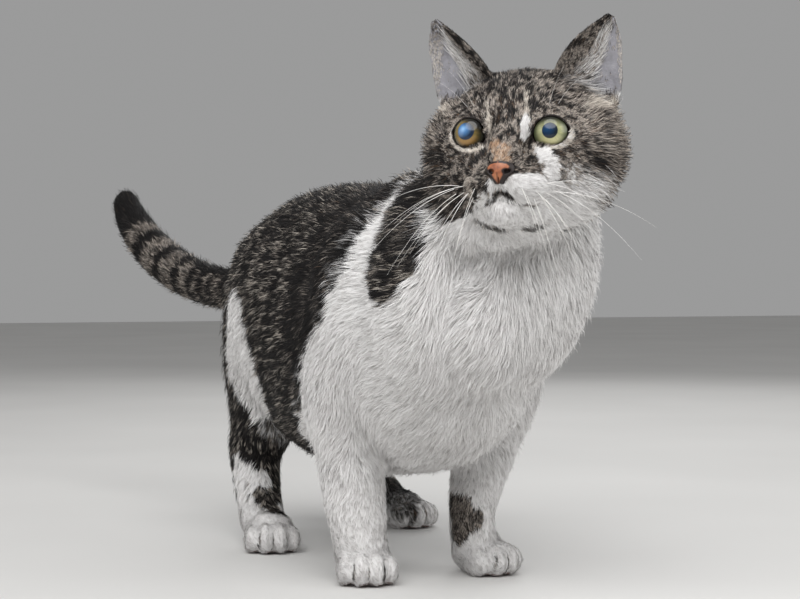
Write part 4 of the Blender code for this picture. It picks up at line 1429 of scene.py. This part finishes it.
def eyeball(side):
    bpy.ops.object.select_all(action="DESELECT")
    bpy.ops.mesh.primitive_uv_sphere_add(segments=64, ring_count=40, radius=EYE_RADIUS - 0.1)
    ball = bpy.context.object
    ball.name = "eyeball_" + side
    mesh = ball.data
    mesh.transform(Matrix.Rotation(math.radians(90), 4, "X"))
    local = points_of(mesh)
    reach = np.hypot(local[:, 0], local[:, 2])
    dome = (1 - ramp(reach, 5.5, 9.6)) * (local[:, 1] < 0)
    local[:, 1] -= DOME * dome
    layer = mesh.uv_layers.new(name="EyeUV")
    index = np.empty(len(mesh.loops), np.int32)
    mesh.loops.foreach_get("vertex_index", index)
    flat = local[index][:, (0, 2)] / EYE_MAP + 0.5
    layer.data.foreach_set("uv", flat.astype(np.float32).ravel())
    move_points(mesh, placed(local, eye_matrix(SIDES[side])))
    only(ball)
    bpy.ops.object.shade_smooth()
    return ball


def vector_maths(tree, operation, **inputs):
    return add_node(tree, "ShaderNodeVectorMath", {"operation": operation}, **inputs).outputs


def eye_material(side):
    iris = IRIS[side]
    finish = {"Coat_Weight": 0.4, "Coat_Roughness": 0.06, "IOR": 1.4}
    made, tree, shader = new_material("eye_" + side, 0.2, **finish)
    place = add_node(tree, "ShaderNodeUVMap", {"uv_map": "EyeUV"}).outputs[0]
    middle = (0.5, 0.5 + iris["up"] / EYE_MAP, 0)
    centred = vector_maths(tree, "SUBTRACT", _0=place, _1=middle)[0]
    sized = vector_maths(tree, "SCALE", _0=centred, Scale=EYE_MAP)[0]
    radius = vector_maths(tree, "LENGTH", _0=sized)["Value"]
    ray = vector_maths(tree, "NORMALIZE", _0=sized)[0]
    rays = add_node(tree, "ShaderNodeTexNoise", Vector=ray, Scale=9.0, Detail=8.0, Roughness=0.7)
    fine = add_node(tree, "ShaderNodeTexNoise", Vector=sized, Scale=0.5, Detail=6.0)
    coarse = maths(tree, "MULTIPLY", rays.outputs["Fac"], 0.75)
    both = maths(tree, "MULTIPLY_ADD", fine.outputs["Fac"], 0.35, coarse)
    colour = ramp_of(tree, both, iris["rays"])
    height = add_node(tree, "ShaderNodeSeparateXYZ", Vector=sized).outputs["Y"]
    lower = smooth_range(tree, height, -8.0, -1.0, 0.8, 0.0)
    colour = mix(tree, lower, colour, linear(iris["low"]))
    colour = mix(tree, smooth_range(tree, radius, 5.6, 8.8), colour, linear(iris["rim"]))
    colour = mix(tree, smooth_range(tree, radius, 8.7, 9.4), colour, linear("17130f"))
    # Blue round one point of the pupil: haze in the right eye, a painted reflection in the left.
    from_haze_and_reflection = vector_maths(tree, "DISTANCE", _0=sized, _1=HAZE_AND_REFLECTION)["Value"]
    pupil = ramp_of(tree, maths(tree, "DIVIDE", from_haze_and_reflection, HAZE_AND_REFLECTION_REACH), iris["pupil"])
    edge = PUPIL_RADIUS[side]
    past_edge = smooth_range(tree, radius, edge - 0.25, edge + 0.25)
    colour = mix(tree, past_edge, pupil, colour)
    # Painted shade of the upper lid: the ball grows darker towards its top.
    upward = vector_maths(tree, "DOT_PRODUCT", _0=sized, _1=(iris["lean"], 1.0, 0.0))["Value"]
    shade = smooth_range(tree, upward, 0.5, 7.8, 1.0, 0.03)
    colour = mix(tree, 1.0, colour, shade, "MULTIPLY")
    tree.links.new(colour, shader.inputs["Base Color"])
    return made


for side in SIDES:
    ball = eyeball(side)
    ball.data.materials.clear()
    ball.data.materials.append(eye_material(side))
    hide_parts("eye_" + side)
    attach(ball, "root")
    print("eyeball", side, "made")

# %% [markdown]
# The rims of the lids are thin dark rolls of bare skin that lie on the ball. A curve goes
# round each opening, with the thickness of the rim as its bevel.

# %% Rims of the lids
RIM_RADIUS = 0.5


def threads(name, lines, thick, sides=2):
    """Tapering threads: each line is a list of points in metres, with a share of the radius."""
    curve = bpy.data.curves.new(name, "CURVE")
    curve.dimensions = "3D"
    curve.bevel_depth = thick * MM
    curve.bevel_resolution = sides
    curve.use_fill_caps = True
    for line, closed in lines:
        spline = curve.splines.new("POLY")
        spline.points.add(len(line) - 1)
        spline.use_cyclic_u = closed
        for point, (x, y, z, share) in zip(spline.points, line):
            point.co = (x, y, z, 1)
            point.radius = share
    obj = new_object(name, curve)
    only(obj)
    bpy.ops.object.convert(target="MESH")
    bpy.ops.object.shade_smooth()
    return obj


def rim_line(sign):
    """The edge of the opening, where it meets the skin."""
    matrix = eye_matrix(sign)
    forward = (matrix.to_3x3() @ Vector((0, 1, 0))).normalized()
    line = []
    for x, z in almond(sign, 96):
        hit = surface.ray_cast(matrix @ Vector((x, -30, z)), forward)[0]
        depth = (matrix.inverted() @ hit).y + 0.5
        ball = -math.sqrt(max((EYE_RADIUS + 0.1) ** 2 - x * x - z * z, 0.0))
        share = 1.0 + 0.5 * max(z / OPENING[1], -0.3)
        line.append((*(matrix @ Vector((x, min(depth, ball), z))), share))
    return line, True


rims = threads("lid_rims", [rim_line(sign) for sign in SIDES.values()], RIM_RADIUS)
RIM_STOPS = ((0.3, "120e0d"), (0.75, "241b18"))
rim_skin = speckled("dark_bare_skin", 0.5, 700.0, RIM_STOPS, 4.0, Specular_IOR_Level=0.25)
rims.data.materials.append(rim_skin)
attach(rims, "root")
print("lid rims:", len(rims.data.polygons), "faces")

# %% [markdown]
# The nose leather is bare and pebbled, brick orange with a dark edge. Its nostrils and the
# groove below them are painted dark, as the shade in them.
# Its solid has the right shape, so a copy of it is remeshed finely and smoothed.

# %% Nose leather
# Middle and reach of each nostril in mm: the shade in its opening is painted there.
NOSTRIL = (4.7, -59.0, -19.2)
NOSTRIL_REACH = (2.6, 3.8, 1.7)
# Half width of the orange leather at heights from the lip to the bridge; round it is dark.
BARE_WEDGE = ((-25, 0.2), (-23, 1.8), (-21.5, 2.7), (-19.5, 3.1), (-18, 5.6), (-16.4, 6.0),
              (-15.2, 4.6), (-14.6, 0.0))
leather = merged_copy("nose_leather", "nose", 0.1 * MM)
finish_modifier(leather, "REMESH", mode="VOXEL", voxel_size=0.4 * MM)
finish_modifier(leather, "SMOOTH", factor=0.5, iterations=5)
local = to_head(points_of(leather.data))
local[:, 0] *= nose_across(local[:, 2])
move_points(leather.data, placed(local, head_matrix))
mirrored = np.column_stack((abs(local[:, 0]), local[:, 1:]))
from_hole = np.linalg.norm((mirrored - NOSTRIL) / NOSTRIL_REACH, axis=1)
# Painted shade of the nostrils and of the groove below them, added to the leather's dark edge.
nostril_shade = 1 - ramp(from_hole, 0.75, 1.15)
bare_half = np.interp(local[:, 2], *np.array(BARE_WEDGE).T)
edge = ramp(mirrored[:, 0] - bare_half, -0.4, 0.7)
groove_shade = (1 - ramp(mirrored[:, 0], 0.15, 0.6)) * (1 - ramp(local[:, 2], -20.5, -19))
dark = np.clip(nostril_shade + edge + groove_shade * 0.6, 0, 1)
set_attribute(leather.data, "dark", "FLOAT", dark)
made, tree, shader = new_material("nose_skin", 0.38)
place = add_node(tree, "ShaderNodeTexCoord").outputs["Object"]
pebbles = add_node(tree, "ShaderNodeTexVoronoi", Vector=place, Scale=1600.0)
blotch = add_node(tree, "ShaderNodeTexNoise", Vector=place, Scale=260.0, Detail=5.0)
colour = ramp_of(tree, blotch.outputs["Fac"], ((0.32, "784532"), (0.5, "a0603f"), (0.7, "b5764f")))
share = add_node(tree, "ShaderNodeAttribute", {"attribute_name": "dark"}).outputs["Fac"]
tree.links.new(mix(tree, share, colour, linear("1d1210")), shader.inputs["Base Color"])
height = pebbles.outputs["Distance"]
bump = add_node(tree, "ShaderNodeBump", Height=height, Strength=0.35, Distance=0.3 * MM)
tree.links.new(bump.outputs[0], shader.inputs["Normal"])
leather.data.materials.clear()
leather.data.materials.append(made)
only(leather)
bpy.ops.object.shade_smooth()
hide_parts("nose")
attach(leather, "root")
print("nose leather:", len(leather.data.polygons), "faces")

# %% [markdown]
# Whiskers are stiff, white, and ten times as thick as a hair of the coat. They stand in
# rows on the pads beside the nose and droop at their ends. A few stand over the eyes.

# %% Whiskers
# Root and tip of each whisker in the head's frame, in mm, and of the hairs over the left
# eye, which the right eye repeats mirrored.
WHISKERS = {
    "left": (
        ((15, -53, -31), (29, -40, -76)), ((18, -49, -32), (33, -36, -84)),
        ((21, -48, -30), (47, -28, -86)), ((21, -40, -30), (43, -30, -64)),
        ((20, -46, -27), (52, -30, -53)), ((24, -38, -27), (80, -20, -44)),
        ((22, -44, -24), (64, -30, -26)), ((17, -52, -27), (46, -44, -62)),
        ((25, -34, -25), (70, -6, -60)), ((13, -56, -28), (25, -52, -62)),
        ((19, -50, -24), (50, -40, -34)),
    ),
    "right": (
        ((-31, -34, -24), (-77, -48, -66)), ((-29, -36, -27), (-64, -46, -74)),
        ((-26, -38, -28), (-52, -44, -62)), ((-17, -54, -30), (-43, -42, -79)),
        ((-15, -51, -32), (-29, -40, -71)), ((-24, -42, -24), (-70, -44, -50)),
        ((-22, -45, -28), (-57, -50, -70)), ((-20, -49, -25), (-60, -50, -46)),
        ((-27, -38, -23), (-76, -34, -34)), ((-13, -56, -28), (-24, -52, -64)),
        ((-19, -50, -30), (-44, -46, -70)),
    ),
}
BROWS = (((21, -33, 22), (33, -50, 40)), ((25, -31, 22), (42, -42, 36)))
# How far a whisker is arched, as a share of its length, and its radius in mm.
SAG = 0.16
WHISKER_RADIUS = 0.18
WHISKER_STEPS = 12
BROW_SHARE = 0.45


def whisker(start, end, share=1.0):
    """Points from root to tip, arched up in the middle, with the radius that is left."""
    start, end = Vector(start), Vector(end)
    size = (end - start).length
    line = []
    for step in range(WHISKER_STEPS + 1):
        t = step / WHISKER_STEPS
        place = start.lerp(end, t) + Vector((0, -0.35, 1)) * size * SAG * 4 * t * (1 - t) * 0.5
        line.append((*(head_matrix @ place), share * (1 - 0.85 * t)))
    return line, False


lines = [whisker(*pair) for pairs in WHISKERS.values() for pair in pairs]
for sign in SIDES.values():
    for (x, y, z), (tip_x, tip_y, tip_z) in BROWS:
        lines.append(whisker((x * sign, y, z), (tip_x * sign, tip_y, tip_z), BROW_SHARE))
whiskers = threads("whiskers", lines, WHISKER_RADIUS, sides=1)
whiskers.data.materials.append(speckled("whisker", 0.35, 90.0, ((0.3, "e6e2dc"), (0.7, "fbfaf8"))))
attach(whiskers, "root")
print("whiskers:", len(lines))

# %% [markdown]
# The cat stands on a plain pale floor. One large soft light hangs high above the camera,
# two weaker ones fill in from the sides, and one stands behind the cat, so that dark fur
# keeps an edge. The rest is the even light of the studio.

# %% Floor, light and camera
bpy.ops.object.select_all(action="DESELECT")
bpy.ops.mesh.primitive_plane_add(size=12)
floor = bpy.context.object
floor.name = "floor"
floor.data.materials.append(speckled("pale_floor", 0.7, 3.0, ((0.3, "c9c8c6"), (0.7, "cfcecc"))))

# Place, heading and tilt of the camera, and its focal length in mm.
CAMERA = Vector((-0.4543, -1.2364, 0.187))
AZIMUTH = math.radians(22)
DOWN = math.radians(0.759)
LENS = 83.25
forward = Vector(
    (math.sin(AZIMUTH) * math.cos(DOWN), math.cos(AZIMUTH) * math.cos(DOWN), -math.sin(DOWN))
)
camera = new_object("camera", bpy.data.cameras.new("camera"))
camera.location = CAMERA
camera.rotation_euler = forward.to_track_quat("-Z", "Y").to_euler()
camera.data.lens = LENS
camera.data.clip_start = 0.01
bpy.context.scene.camera = camera


def soft_light(name, place, aim, size, power):
    lamp = bpy.data.lights.new(name, "AREA")
    lamp.shape = "DISK"
    lamp.size = size
    lamp.energy = power
    obj = new_object(name, lamp)
    obj.location = place
    obj.rotation_euler = (Vector(aim) - Vector(place)).to_track_quat("-Z", "Y").to_euler()


soft_light("key", (-0.5, -1.0, 1.5), (0, -0.2, 0.2), 1.9, 33)
soft_light("fill_left", (-1.9, 0.1, 0.6), (0, -0.1, 0.2), 1.4, 8)
soft_light("fill_right", (1.3, -1.2, 0.9), (0, -0.2, 0.25), 1.4, 9)
soft_light("back", (0.9, 1.3, 1.2), (0, 0, 0.2), 1.2, 9)
world = bpy.data.worlds.new("studio")
bpy.context.scene.world = world
world.use_nodes = True
background = world.node_tree.nodes["Background"]
background.inputs["Color"].default_value = linear("d9d9d9")
background.inputs["Strength"].default_value = 0.47
bpy.context.scene.view_settings.view_transform = "Standard"
print("camera at", tuple(round(v, 3) for v in CAMERA))
